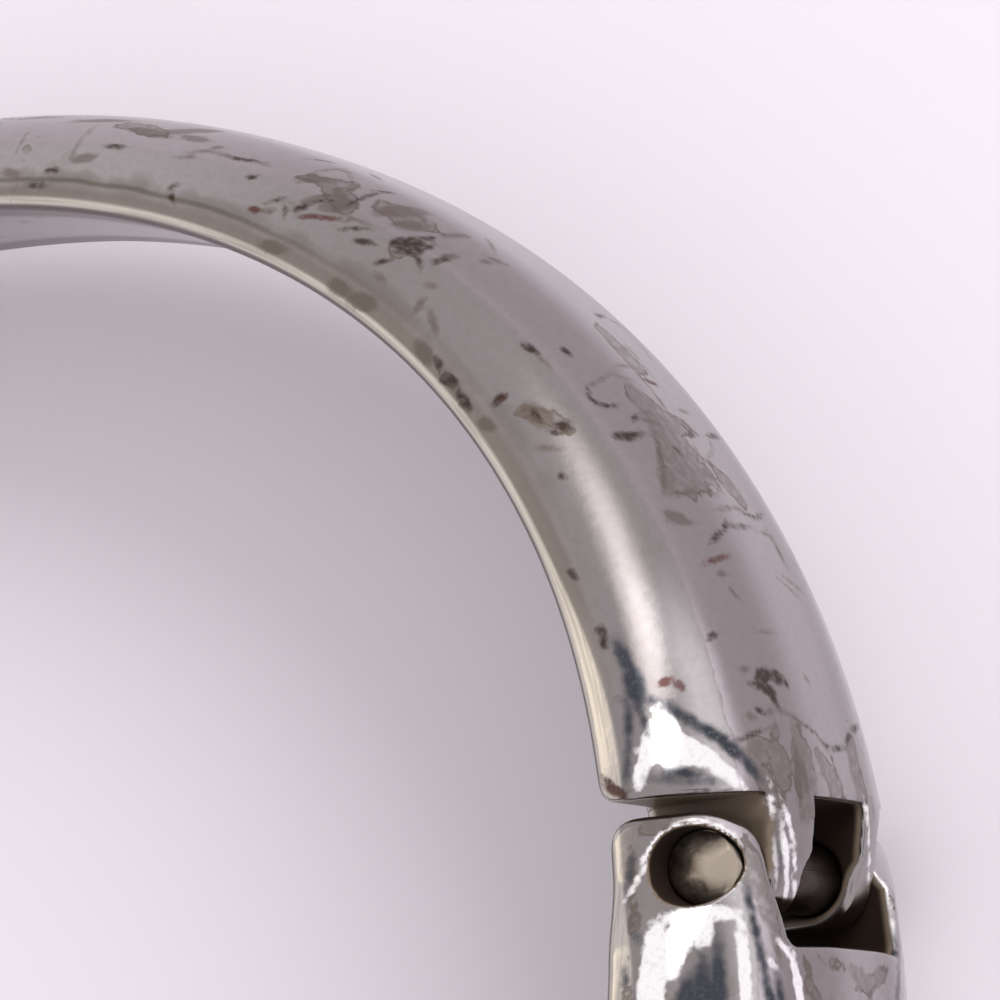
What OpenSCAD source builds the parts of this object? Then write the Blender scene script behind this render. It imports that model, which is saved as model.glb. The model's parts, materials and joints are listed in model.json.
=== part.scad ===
// Hinged cuff bangle: two tapered, domed silver arms that turn on one pin.
// It lies on its side, the way it rests by itself: on the wide hinge end and on the two slim tips.
// All sizes are in millimetres.

/* [Opening for the wrist] */
// Inner width of the oval, from the hinge to the gap
wrist_w = 60; // [54:1:68]
// Inner height of the oval, across the two arms
wrist_h = 56; // [50:1:62]
// Squareness of the oval: 2 is an ellipse, more is squarer
oval_power = 2.2; // [2:0.05:2.5]
// How far each arm reaches round from the hinge, in degrees of the oval
arm_reach = 166.5; // [150:0.5:172]

/* [Section of the arms] */
// Where the bangle is widest and thickest: on the lower arm, this many degrees of the oval past the pin
crest = 9; // [6:0.5:12]
// Width at the crest, along the wrist
crest_w = 18; // [16:0.5:20]
// Width at the tips
tip_w = 7.9; // [6:0.1:9]
// How fast the width falls from the crest, per arm length
fall_w = 21.5; // [12:0.5:24]
// Thickness at the crest
crest_t = 6.1; // [5.5:0.1:6.5]
// Thickness at the tips
tip_t = 3.7; // [3:0.1:4.5]
// How fast the thickness falls from the crest, per arm length
fall_t = 6.3; // [2:0.1:8]
// Share of the thickness that is the straight side wall, below the dome
wall_share = 0.25; // [0.15:0.01:0.4]
// Roundness of the dome: 2 is an ellipse, more is fuller
dome_power = 2.15; // [2:0.05:2.8]
// Radius of the softened edge beside the wrist
edge_r = 0.45; // [0.2:0.05:0.7]
// Length of the rounded nose at each tip, in degrees of the oval
nose_reach = 7; // [4:0.5:10]

/* [Hinge] */
// Distance from the wrist face to the axis of the pin
pin_in = 2.95; // [2.8:0.05:3.2]
// Diameter of the pin
pin_d = 2.6; // [2:0.1:3]
// Length of the pin
pin_l = 13.1; // [12:0.1:14]
// Chamfer round each end of the pin
pin_chamfer = 0.4; // [0.2:0.05:0.6]
// Radial clearance of the pin in its bore
pin_gap = 0.05; // [0.02:0.01:0.08]
// Height above the middle at which the near knuckle gives way to its lug
near_reach = 4.8; // [4.2:0.1:5.2]
// Depth below the middle at which the far knuckle gives way to its lug
far_reach = 4.1; // [3.9:0.1:5.2]
// Width of the open slot between the two knuckles
slot_w = 4.4; // [3:0.1:5]
// Gap between the side faces of a knuckle and its lug
side_gap = 0.12; // [0.08:0.01:0.2]
// Distance from the pin to the upper arm's shoulder
upper_shoulder = 2.4; // [2.25:0.05:2.6]
// Distance from the pin to the lower arm's shoulder
lower_shoulder = 2.9; // [2.85:0.05:3.2]
// How far a knuckle reaches past the pin
knuckle_end = 1.9; // [1.9:0.05:2.2]
// Radius of a knuckle's outer corner
knuckle_r = 1.9; // [1.6:0.05:1.9]
// How much the knuckles are filed down at the pin, below the line of the arms
knuckle_drop = 0.45; // [0.2:0.05:0.6]
// How much the lugs are filed down there
lug_drop = 0.2; // [0:0.05:0.6]
// How far round from the pin they are filed, in degrees of the oval
drop_reach = 3.9; // [3:0.1:6]
// How far a lug reaches past the pin
lug_end = 1.88; // [1.7:0.02:2]
// Radius of the inner corners at the hinge, beside the wrist
inner_r = 1.15; // [0.8:0.05:1.3]
// Radius of the inner corner of the upper arm's shoulder
shoulder_r = 0.8; // [0.5:0.1:1.2]

/* [Hidden] */
silver = [0.72, 0.70, 0.69];
dull_silver = [0.60, 0.57, 0.53];

// Number of rings beside the hinge, along the rest of an arm and in its nose
hinge_rings = 16;
rings = 46;
nose_rings = 7;
// Number of facets round the dome and the edge
dome_facets = 22;
edge_facets = 3;
// Where an arm's blank starts, a little past the pin, before the hinge is cut into it
start_reach = -5;
// Where the rings beside the hinge end
hinge_zone = 11;
// The taper is rounded off over this share of a right angle at the crest, so it has no crease there
soft = 0.03;
far = 12;
overlap = 0.01;
$fn = 64;

half_w = wrist_w / 2;
half_h = wrist_h / 2;
pin_x = half_w + pin_in;
bore_r = pin_d / 2 + pin_gap;
// The upper arm is the side 1 and the lower arm the side -1
knuckle_face = thick_at(0, 1) - pin_in;
lug_face = dome(2 * near_reach / width_at(0, -1)) * thick_at(0, -1) - pin_in;

// A number raised to a power, keeping its sign
function spow(v, n) = sign(v) * pow(abs(v), n);

// Height of the dome above the wrist face, as a share of the thickness, at a share v of the half width
function dome(v) = wall_share + (1 - wall_share) * pow(max(0, 1 - pow(abs(v), dome_power)), 1 / dome_power);

// A smooth taper from size a at the crest to size b at the tip, which starts to fall at the rate f
function taper(a, b, f, u) =
    a * (2 * pow(u, 3) - 3 * pow(u, 2) + 1) - f * (pow(u, 3) - 2 * pow(u, 2) + u)
    + b * (3 * pow(u, 2) - 2 * pow(u, 3));

// Share of the way from the crest to the tip at an angle of the oval, which is 0 at the pin
function share(a, side) = let (from_crest = (a + side * crest) / 90)
    (sqrt(from_crest * from_crest + soft * soft) - soft) * 90 / (arm_reach + side * crest);
function width_at(a, side) = taper(crest_w, tip_w, fall_w, share(a, side));
function thick_at(a, side) = taper(crest_t, tip_t, fall_t, share(a, side))
    - (side > 0 ? knuckle_drop : lug_drop) * min(1, max(0, 1 - a / drop_reach));

// A point of the oval, and the direction straight out of it
function oval(a) = [half_w * spow(cos(a), 2 / oval_power), half_h * spow(sin(a), 2 / oval_power)];
function outward(p) =
    let (n = [spow(p[0] / half_w, oval_power - 1) / half_w, spow(p[1] / half_h, oval_power - 1) / half_h])
    n / norm(n);

// Half of the section as [height along the wrist, distance out], from the wrist face to the crown
function half_section(w, t) = concat(
    [for (i = [0 : edge_facets]) let (b = 90 * i / edge_facets)
        [w / 2 - edge_r * (1 - sin(b)), edge_r * (1 - cos(b))]],
    [for (i = [0 : dome_facets / 2]) let (b = 180 * i / dome_facets, v = spow(cos(b), 2 / dome_power))
        [v * w / 2, dome(v) * t]]
);
function section(w, t) = let (h = half_section(w, t), n = len(h)) concat(
    h, [for (i = [n - 2 : -1 : 0]) [-h[i][0], h[i][1]]]
);

// The nose draws the section in towards its middle, as a half ellipse does
function nose(a) = let (v = max(0, (a - arm_reach + nose_reach) / nose_reach)) sqrt(1 - 0.99 * v * v);

// One ring of points round an arm at an angle of the oval
function ring(a, side) = let (t = thick_at(a, side), p = oval(a), n = outward(p), k = nose(a))
    [for (s = section(width_at(a, side), t)) concat(p + n * (t / 2 + (s[1] - t / 2) * k), s[0] * k)];

ring_angles = concat(
    [for (i = [0 : hinge_rings - 1]) start_reach + (hinge_zone - start_reach) * i / hinge_rings],
    [for (i = [0 : rings]) hinge_zone + (arm_reach - nose_reach - hinge_zone) * i / rings],
    [for (i = [1 : nose_rings]) arm_reach - nose_reach + nose_reach * sin(90 * i / nose_rings)]
);
function arm_points(side) = [for (a = ring_angles) each ring(a, side)];
ring_size = len(section(crest_w, crest_t));

// The bangle leans on its tips: the lean is the least slope from the edge at the crest down to an arm
crest_rest = [oval(crest)[0] + edge_r, crest_w / 2];
lean = min([for (side = [-1, 1], a = ring_angles) if (a > 60)
    atan((crest_rest[1] - width_at(a, side) / 2 * nose(a)) / (crest_rest[0] - oval(a)[0]))]);
resting_points = [for (side = [-1, 1], p = arm_points(side))
    [p[0] * cos(lean) - p[2] * sin(lean), p[0] * sin(lean) + p[2] * cos(lean)]];
middle_x = (min([for (p = resting_points) p[0]]) + max([for (p = resting_points) p[0]])) / 2;
lift = -min([for (p = resting_points) p[1]]);

// Puts the bangle, drawn flat round its own middle, on the surface it rests on
module resting() {
    translate([-middle_x, 0, lift]) rotate([0, -lean, 0]) children();
}

// One arm from just past the pin to its rounded tip, before the hinge is cut
module arm_blank(side) {
    n = ring_size;
    last = len(ring_angles) - 1;
    polyhedron(arm_points(side), concat(
        [[for (i = [0 : n - 1]) i]],
        [for (k = [0 : last - 1], i = [0 : n - 1]) let (j = (i + 1) % n) each [
            [k * n + i, (k + 1) * n + i, (k + 1) * n + j],
            [k * n + i, (k + 1) * n + j, k * n + j]
        ]],
        [[for (i = [n - 1 : -1 : 0]) last * n + i]]
    ));
}

// What a finger of the hinge loses past the pin: all but an end with rounded corners
module end_waste(end, outer_r, face) {
    difference() {
        translate([-far, -far]) square([2 * far, far]);
        translate([-far, inner_r - end]) square([far, far]);
        translate([0, outer_r - end]) square([far, far]);
        translate([inner_r - pin_in, -end]) square([face - outer_r - inner_r + pin_in, far]);
        translate([inner_r - pin_in, inner_r - end]) circle(inner_r);
        translate([face - outer_r, outer_r - end]) circle(outer_r);
    }
}

// A block that is cut away from y = -far up to the shoulder, between two heights
module seat(shoulder, low, high) {
    translate([pin_x - far, -far, low]) cube([2 * far, far + shoulder, high - low]);
}

module bore() {
    translate([pin_x, 0, -far]) cylinder(h = 2 * far, r = bore_r);
}

// The rounded inner corner of the upper arm's shoulder
module shoulder_corner() {
    translate([pin_x, 0, -far]) linear_extrude(2 * far) difference() {
        translate([-far, upper_shoulder - overlap]) square([far - pin_in + shoulder_r, shoulder_r + overlap]);
        translate([shoulder_r - pin_in, upper_shoulder + shoulder_r]) circle(shoulder_r);
    }
}

// The upper arm carries the two inner fingers of the hinge, with an open slot between them
module upper_arm() {
    low = side_gap / 2 - far_reach;
    high = near_reach - side_gap / 2;
    color(silver) resting() difference() {
        arm_blank(1);
        seat(upper_shoulder, high, far);
        seat(upper_shoulder, -far, low);
        seat(upper_shoulder, -slot_w / 2, slot_w / 2);
        translate([pin_x, 0, -far]) linear_extrude(2 * far) end_waste(knuckle_end, knuckle_r, knuckle_face);
        difference() {
            shoulder_corner();
            translate([pin_x - far, -far, low]) cube([2 * far, 2 * far, high - low]);
        }
        bore();
    }
}

// The lower arm carries the two outer fingers, which hold the pin
module lower_arm() {
    color(silver) resting() mirror([0, 1, 0]) difference() {
        arm_blank(-1);
        seat(lower_shoulder, -far_reach - side_gap / 2, near_reach + side_gap / 2);
        translate([pin_x, 0, -far]) linear_extrude(2 * far) end_waste(lug_end, lug_end, lug_face);
        bore();
    }
}

// A plain round pin with chamfered ends
module hinge_pin() {
    r = pin_d / 2;
    half_l = pin_l / 2;
    color(dull_silver) resting() translate([pin_x, 0, 0]) rotate_extrude() polygon([
        [0, -half_l], [r - pin_chamfer, -half_l], [r, pin_chamfer - half_l],
        [r, half_l - pin_chamfer], [r - pin_chamfer, half_l], [0, half_l]
    ]);
}

upper_arm();
lower_arm();
hinge_pin();
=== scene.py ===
# %% [markdown]
# # A hinged silver cuff bangle
#
# The bangle is two cast silver arms that turn on one pin. It is old, polished by wear and tarnished
# in its creases, and it lies on a pale surface. The solids from the workshop drawing come in first
# and stay as a fixed frame. Everything below is made around them, in the same place and at the
# same size.

# %% Load the frame
import json
import math
import bmesh
import bpy
import numpy as np
from mathutils import Matrix, Vector


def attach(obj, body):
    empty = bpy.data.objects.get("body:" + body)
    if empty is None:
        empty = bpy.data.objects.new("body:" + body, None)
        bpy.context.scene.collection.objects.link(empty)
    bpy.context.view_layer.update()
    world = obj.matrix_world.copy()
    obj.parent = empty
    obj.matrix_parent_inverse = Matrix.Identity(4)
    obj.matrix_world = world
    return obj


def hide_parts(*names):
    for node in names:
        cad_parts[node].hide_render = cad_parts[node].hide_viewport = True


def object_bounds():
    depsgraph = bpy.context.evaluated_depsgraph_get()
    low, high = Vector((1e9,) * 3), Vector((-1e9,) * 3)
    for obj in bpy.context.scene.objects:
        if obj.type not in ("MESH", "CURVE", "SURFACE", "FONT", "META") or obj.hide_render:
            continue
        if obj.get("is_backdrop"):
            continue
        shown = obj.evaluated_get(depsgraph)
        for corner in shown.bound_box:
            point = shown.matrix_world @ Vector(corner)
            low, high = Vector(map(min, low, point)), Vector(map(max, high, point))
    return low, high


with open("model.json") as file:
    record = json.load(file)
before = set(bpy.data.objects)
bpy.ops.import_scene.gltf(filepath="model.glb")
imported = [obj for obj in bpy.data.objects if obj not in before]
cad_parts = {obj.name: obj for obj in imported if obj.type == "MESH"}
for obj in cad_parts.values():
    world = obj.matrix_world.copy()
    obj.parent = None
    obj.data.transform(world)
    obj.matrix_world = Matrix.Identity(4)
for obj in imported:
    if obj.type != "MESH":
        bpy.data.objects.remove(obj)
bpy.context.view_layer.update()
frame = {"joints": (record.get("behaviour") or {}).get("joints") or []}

# %% [markdown]
# ## The drawing's sizes
#
# These are the driving sizes of the drawing, in millimetres. They could be measured on the solids,
# but a formula needs the size itself. The drawing's own units keep the formulas readable, and
# they turn into metres only when a mesh is written.

# %% Sizes of the oval and of the arms
MM = 0.001
# Half the width and half the height of the wrist's oval, and its squareness: 2 is an ellipse
HALF_W, HALF_H, OVAL_POWER = 30.0, 28.0, 2.2
# How far an arm reaches round, and how much of that is its rounded nose, in degrees of the oval
ARM_REACH, NOSE_REACH = 166.5, 7.0
# The crest is the widest place. It lies on the lower arm, this many degrees of the oval past the pin
CREST, CREST_W, CREST_T = 9.0, 18.0, 6.1
# Width and thickness at the tips
TIP_W, TIP_T = 7.9, 3.7
# How fast the width and the thickness fall from the crest, and how softly the fall starts
FALL_W, FALL_T, FALL_SOFT = 21.5, 6.3, 0.03
# Share of the thickness that is side wall, and the radius of the edge beside the wrist
WALL_SHARE, EDGE_R = 0.25, 0.45
print("oval", 2 * HALF_W, "by", 2 * HALF_H, "mm inside")

# %% Sizes of the hinge
# Distance from the wrist face to the pin's axis, and the radii of the pin and of its bore
PIN_IN, PIN_R, BORE_R = 2.95, 1.3, 1.35
PIN_X = HALF_W + PIN_IN
# Where the near and the far knuckle give way to their lugs, the slot between them, and the side gap
NEAR_REACH, FAR_REACH, SLOT_W, SIDE_GAP = 4.8, 4.1, 4.4, 0.12
# Distance from the pin to each arm's shoulder, where its fingers start
UPPER_SHOULDER, LOWER_SHOULDER = 2.4, 2.9
# How far a knuckle reaches past the pin, the radius of its outer corner, and a lug's reach and radius
KNUCKLE_END, KNUCKLE_R, LUG_END = 1.9, 1.9, 1.88
# Radii of the fingers' corners beside the wrist, and of the near knuckle's
INNER_R, SHOULDER_R = 1.15, 0.8
# How much the knuckles and the near lug are filed down at the pin
KNUCKLE_DROP, NEAR_LUG_DROP = 0.45, 0.4
print("pin of", 2 * PIN_R, "mm at", PIN_X, "mm from the middle of the oval")

# %% [markdown]
# ## From the drawing to the table
#
# The drawing has the bangle flat round its own middle. Lying by itself, it leans a few degrees on
# its wide hinge end and its two slim tips. The lean could be typed in again, but then two numbers
# would have to agree. The hinge's axis in the frame tells it, so it is read from there.

# %% Place of the bangle on the surface
hinge = frame["joints"][0]
lean = math.asin(hinge["axis"][0])
hinge_point = Vector(hinge["pos_m"])
RESTING = (Matrix.Translation(hinge_point) @ Matrix.Rotation(-lean, 4, "Y")
           @ Matrix.Translation((-PIN_X * MM, 0, 0)))
print("the bangle leans", round(math.degrees(lean), 2), "degrees")

# %% [markdown]
# ## The camera
#
# The picture looks down on the hinge from close by, with the far end of the cuff out of the frame.
# The camera could be dragged into place by eye, but here it is set in the bangle's own frame, by
# three turns and a distance, and is then carried to the surface with the bangle. A long lens at
# that distance gives the picture's narrow field, and the lens follows from how many pixels a
# millimetre takes.

# %% Camera
# The picture's side in pixels, the sensor's in mm, and how far the camera is from the bangle in mm
PICTURE, SENSOR, CAMERA_DISTANCE = 1000, 36, 294.28
# Pixels that a mm takes at that distance
PIXELS_PER_MM = 27.08
# Pixel where the middle of the oval falls, just past the picture's left edge
MIDDLE_AT = -31.96, 988.04
# How far the camera is rolled, swung aside and nodded
ROLL, SWING, NOD = math.radians(5.85), math.radians(-25.93), math.radians(-5.75)
# The turn from the bangle's frame to the camera's
TURN = Matrix.Rotation(NOD, 3, "X") @ Matrix.Rotation(SWING, 3, "Y") @ Matrix.Rotation(ROLL, 3, "Z")
aside = Vector(((PICTURE / 2 - MIDDLE_AT[0]), (MIDDLE_AT[1] - PICTURE / 2), 0)) / PIXELS_PER_MM
EYE = TURN.transposed() @ (aside + Vector((0, 0, CAMERA_DISTANCE)))
camera = bpy.data.objects.new("camera", bpy.data.cameras.new("camera"))
bpy.context.scene.collection.objects.link(camera)
camera.data.sensor_width = SENSOR
camera.data.lens = SENSOR * PIXELS_PER_MM * CAMERA_DISTANCE / PICTURE
camera.data.clip_start = 0.01
camera.matrix_world = RESTING @ Matrix.Translation(EYE * MM) @ TURN.transposed().to_4x4()
bpy.context.scene.camera = camera
print("camera at", [round(v, 3) for v in camera.matrix_world.translation], "m")
print("lens of", round(camera.data.lens), "mm")

# %% [markdown]
# ## The form of an arm
#
# An arm is a bar swept round the oval. A bar with a knuckle joint cut into its end has many small
# rounded edges, and polished metal shows every one of them. Cutting such edges with boolean and
# bevel modifiers on a fine mesh gives ragged creases. So the arm is described by a field instead:
# a formula that says how far any point is from the metal, negative inside. Two fields join by
# taking the larger (both must hold) or the smaller (either may hold) of the two, and a small
# radius in that step rounds the edge between them, as a jeweller's file does.

# %% Joining fields with rounded edges
def both(a, b, radius):
    """Inside both fields; the outer edge where they meet is rounded."""
    round_part = np.hypot(np.maximum(a + radius, 0), np.maximum(b + radius, 0))
    return np.minimum(np.maximum(a, b), -radius) + round_part


def either(a, b, radius):
    """Inside either field; the inner corner where they meet is filled."""
    return -both(-a, -b, radius)


print("rounding a square edge by 1 mm takes", round(float(both(0, 0, 1)), 2), "mm off its corner")

# %% [markdown]
# The arms are widest near the hinge and taper to slim tips. The oval could be drawn as a curve with
# a taper object, but a field needs the width at any place on it. So the oval and both tapers are
# formulas of how far one has gone round: the oval is an ellipse made a little squarer, and each
# taper is a cubic with a chosen start, end and fall.

# %% The oval
def ease(v):
    """A smooth step from 0 to 1."""
    v = np.clip(v, 0, 1)
    return v * v * (3 - 2 * v)


def signed_power(v, power):
    """A power that keeps the sign, for the oval's four quarters."""
    return np.sign(v) * np.abs(v) ** power


def oval_point(turn):
    """Point of the inner oval at a turn in radians, seen from its middle, with the outward direction."""
    c, s = np.cos(turn), np.sin(turn)
    reach = ((np.abs(c) / HALF_W) ** OVAL_POWER + (np.abs(s) / HALF_H) ** OVAL_POWER) ** (-1 / OVAL_POWER)
    x, y = reach * c, reach * s
    nx = signed_power(x / HALF_W, OVAL_POWER - 1) / HALF_W
    ny = signed_power(y / HALF_H, OVAL_POWER - 1) / HALF_H
    size = np.hypot(nx, ny)
    return x, y, nx / size, ny / size


def oval_angle(turn):
    """The drawing's own angle of the oval, in degrees, which its tapers use."""
    x, y, _, _ = oval_point(turn)
    half = OVAL_POWER / 2
    return np.degrees(np.arctan2(signed_power(y / HALF_H, half), signed_power(x / HALF_W, half)))


print("a turn of 45 degrees is", round(float(oval_angle(math.pi / 4)), 1), "degrees of the oval")


# %% Tapers along the arm
def taper(start, end, fall, u):
    """A cubic from start to end that falls at a given rate at first and is level at the end."""
    return (start * (2 * u**3 - 3 * u**2 + 1) - fall * (u**3 - 2 * u**2 + u)
            + end * (3 * u**2 - 2 * u**3))


def share(angle, side):
    """Share of the way from the crest to the tip; the upper arm is side 1, the lower arm -1."""
    from_crest = (angle + side * CREST) / 90
    return (np.sqrt(from_crest**2 + FALL_SOFT**2) - FALL_SOFT) * 90 / (ARM_REACH + side * CREST)


def width(angle, side):
    return taper(CREST_W, TIP_W, FALL_W, share(angle, side))


def thickness(angle, side):
    return taper(CREST_T, TIP_T, FALL_T, share(angle, side))


print("width at the hinge", round(float(width(0, 1)), 2), "and at the top of the oval",
      round(float(width(90, 1)), 2), "mm")

# %% [markdown]
# The section is a low wall beside the wrist and a dome over it. On the real bangle the two meet in
# a soft crease, where tarnish has settled. One round profile would lose that crease, so the dome
# is a touch wider than the wall and is cut off by it. At the tip the whole section is drawn in
# to a rounded nose.

# %% Section of an arm
# Fullness of the dome, how much wider than the wall it is, the crease's radius, the deepest value kept
DOME_POWER, DOME_SPREAD, CREASE_R, DEEPEST = 2.4, 1.015, 0.25, 3
# The least scale of the nose, and a number too small to matter: both keep divisions away from 0
LEAST_SCALE, TINY = 0.01, 1e-6


def dome_foot(thick, power):
    """Height at which the dome would start if the wall didn't cut it off at the crease."""
    cut_at = (1 - DOME_SPREAD ** -power) ** (1 / power)
    return thick * (WALL_SHARE - cut_at) / (1 - cut_at)


def bar(z, out, wide, thick, power=DOME_POWER):
    """Field of the dome and its side walls, open to the wrist; out is the height over the wrist face."""
    foot = dome_foot(thick, power)
    v = np.abs(z) * 2 / (wide * DOME_SPREAD) + TINY
    h = np.maximum(out - foot, 0) / (thick - foot) + TINY
    size = (v**power + h**power) ** (1 / power)
    slope_v = (v / size) ** (power - 1) * 2 / (wide * DOME_SPREAD)
    slope_h = (h / size) ** (power - 1) / (thick - foot)
    dome = (size - 1) / np.hypot(slope_v, slope_h)
    return both(np.maximum(dome, -DEEPEST), np.abs(z) - wide / 2, CREASE_R)


def blunted(angle, z, out, thick):
    """The bar drawn in to a rounded nose at the tip: its scale there, and the place before the scaling."""
    v = np.clip((angle - ARM_REACH + NOSE_REACH) / NOSE_REACH, 0, 1)
    k = np.sqrt(np.maximum(1 - v * v, LEAST_SCALE**2))
    return k, z / k, thick / 2 + (out - thick / 2) / k


print("the crest's dome starts", round(float(dome_foot(CREST_T, DOME_POWER)), 2), "mm over the wrist face")

# %% [markdown]
# ## The hinge end
#
# The two arms are cut differently at the hinge. The upper arm keeps two inner fingers, the knuckles,
# with an open slot between them, and the lower arm keeps the two outer fingers, the lugs. Each arm
# has a field of its own, and both read the same reaches and the same side gap, so that the fingers
# clear each other all the way. The fingers' ends are rounded round the pin, or they would jam when
# the cuff opens.

# %% Round ends of the fingers
# Where past the pin a finger's round top starts to rise to the arm's line, over how far, and how much
RISE_FROM, RISE_OVER, RISE = -0.5, 3, 2.2
FINGER_SIDE_R = 0.3


def place(turn, out):
    """Where a point of the straightened arm lies in the bangle's frame."""
    x, y, nx, ny = oval_point(turn)
    return x + nx * out, y + ny * out


def hinge_end(metal, y, out, thick, end, end_r):
    """Rounds the fingers' ends round the pin, with a small radius towards their sides."""
    top = np.minimum(thick, PIN_IN + end + ease((y - RISE_FROM) / RISE_OVER) * RISE)
    end_shape = both(both(-end - y, out - top, end_r), -out, INNER_R)
    return both(metal, end_shape, FINGER_SIDE_R)


# Radius of a plain filed edge, and the millimetres in one degree near the tip
SHARP, TIP_SLOPE = 0.2, 0.5


def ended_and_bored(metal, angle, x, y):
    """Cuts the arm off at its tip and bores it for the pin."""
    metal = np.maximum(metal, (angle - ARM_REACH) * TIP_SLOPE)
    return both(metal, BORE_R - np.hypot(x - PIN_X, y), SHARP)


print("the pin's bore starts", round(PIN_IN - BORE_R, 2), "mm over the wrist face")

# %% [markdown]
# The upper arm's near side is worn. Towards the shoulder its edge is rolled over, and a fine groove
# slants across the dome. Sculpting could do this by hand, but it would have to be done again after
# every change of the net. As two soft terms of the field they always stay in place, and the normals
# follow by themselves.

# %% Wear of the near side
# How far before the shoulder the rolled stretch starts, how deep it gets, and from where across
ROLL_LONG, ROLL_DEEP, ROLL_FROM, ROLL_OVER = 1.7, 0.13, 2.5, 2
# The groove's place along and across, its slope, and the bend it takes past a place across
GROOVE_ALONG, GROOVE_ACROSS, GROOVE_SLOPE, BEND_FROM, GROOVE_BEND = 3.9, 5.5, 0.93, 7.0, 0.9
# Its depth and half width, where it starts and ends across, and how gradually
GROOVE_DEEP, GROOVE_WIDE = 0.012, 0.3
GROOVE_START, START_OVER, GROOVE_END, END_OVER = 4.8, 0.8, 7.6, 0.6


def wear(turn, y, z):
    """How much lower the upper arm's worn near side is than the drawing's, in mm."""
    near_shoulder = np.clip((UPPER_SHOULDER + ROLL_LONG - y) / ROLL_LONG, 0, 1) ** 2
    rolled = near_shoulder * ROLL_DEEP * ease((z - ROLL_FROM) / ROLL_OVER)
    past_line = turn * PIN_X - GROOVE_ALONG - GROOVE_SLOPE * (z - GROOVE_ACROSS)
    past_line = past_line - GROOVE_BEND * np.maximum(z - BEND_FROM, 0) ** 2
    groove = GROOVE_DEEP * np.exp(-((past_line / GROOVE_WIDE) ** 2))
    groove = groove * ease((z - GROOVE_START) / START_OVER) * ease((GROOVE_END - z) / END_OVER)
    return rolled + groove


print("the near edge is rolled by", round(float(wear(0.1, UPPER_SHOULDER, 8.0)), 2), "mm at the shoulder")

# %% [markdown]
# The upper arm is the bar with four cuts: beside the near knuckle, beside the far one, the slot
# between them, and the round ends. Each cut is a field that is joined with a radius of its own,
# because wear rounds the outer edges much more than the ones inside the slot.

# %% Field of the upper arm
# Radii in the corners where fingers meet the shoulder, in the slot's corner, and of plain and worn edges
ROOT_R, SLOT_ROOT_R, PLAIN, WORN = 0.15, 0.1, 0.25, 0.9
# Where past the shoulder the edges start to be worn, over how far, and how much of it the far side has
WORN_FROM, WORN_OVER, FAR_WEAR = 0.2, 0.8, 0.6
# Height over the wrist face up to which the edge beside the wrist is softened
SOFT_EDGE = 1.6


def edge_by_wrist(out):
    """Radius of the edge beside the wrist: soft at the wrist, sharp higher up."""
    return SHARP + (EDGE_R - SHARP) * ease(SOFT_EDGE - out)


def upper_field(turn, z, out):
    """How far a point is outside the upper arm; its two knuckles stand between the lugs."""
    x, y = place(turn, out)
    angle = oval_angle(turn)
    filed = ease((UPPER_SHOULDER - y) / UPPER_SHOULDER)
    thick = thickness(angle, 1) - KNUCKLE_DROP * filed
    k, z_nose, out_nose = blunted(angle, z, out, thick)
    skin = bar(z_nose, out_nose, width(angle, 1), thick) * k + wear(turn, y, z)
    past = UPPER_SHOULDER - y
    near_face = either(z - (NEAR_REACH - SIDE_GAP / 2), past, ROOT_R)
    far_face = either(SIDE_GAP / 2 - FAR_REACH - z, past, ROOT_R)
    slot = either(SLOT_W / 2 - np.abs(z), past, SLOT_ROOT_R)
    worn = PLAIN + (WORN - PLAIN) * ease((past - WORN_FROM) / WORN_OVER)
    metal = both(both(-out_nose * k, near_face, SHOULDER_R), skin, edge_by_wrist(out))
    metal = both(metal, near_face, worn)
    metal = both(metal, far_face, worn * FAR_WEAR)
    metal = both(metal, slot, SHARP)
    metal = hinge_end(metal, y, out, thick, KNUCKLE_END, KNUCKLE_R)
    return ended_and_bored(metal, angle, x, y)


print("a point in the upper arm lies", round(float(-upper_field(1.0, 0.0, 2.0)), 2), "mm inside the metal")

# %% [markdown]
# The lower arm mirrors the upper one, so its field is written for the same side and its mesh is
# turned over later. Its one wide gap leaves the two lugs. On the real bangle the near lug is filed
# by hand: it is thinner, lower and squarer than the drawing's, and its edge towards the gap is
# rounder. A taper that fades in towards the pin does the filing.

# %% Field of the lower arm
# How much thinner the filed near lug is, the fuller dome that it has, and over how far across it starts
LUG_THIN, LUG_POWER, LUG_OVER = 0.5, 3.1, 2
# Radii in the gap's bottom corners and where the gap meets the shoulder, and of the gap's edges
GAP_CORNER_R, GAP_ROOT_R, GAP_EDGE, FILED_EDGE = 0.01, 0.5, 0.32, 0.5


def lower_field(turn, z, out):
    """How far a point is outside the lower arm, before it is mirrored; its two lugs hold the pin."""
    x, y = place(turn, out)
    angle = oval_angle(turn)
    past = LOWER_SHOULDER - y
    filed = ease(past / LOWER_SHOULDER) * ease(z / LUG_OVER + 0.5)
    wide = width(angle, -1) - 2 * LUG_THIN * filed
    thick = thickness(angle, -1) - NEAR_LUG_DROP * filed
    k, z_nose, out_nose = blunted(angle, z, out, thick)
    skin = bar(z_nose, out_nose, wide, thick, DOME_POWER + (LUG_POWER - DOME_POWER) * filed) * k
    between = either(NEAR_REACH + SIDE_GAP / 2 - z, z + FAR_REACH + SIDE_GAP / 2, GAP_CORNER_R)
    metal = both(-out_nose * k, skin, edge_by_wrist(out))
    metal = both(metal, either(between, past, GAP_ROOT_R), GAP_EDGE + FILED_EDGE * filed)
    metal = hinge_end(metal, y, out, thick, LUG_END, LUG_END)
    return ended_and_bored(metal, angle, x, y)


print("a point in the lower arm lies", round(float(-lower_field(1.0, 0.0, 2.0)), 2), "mm inside the metal")

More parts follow.
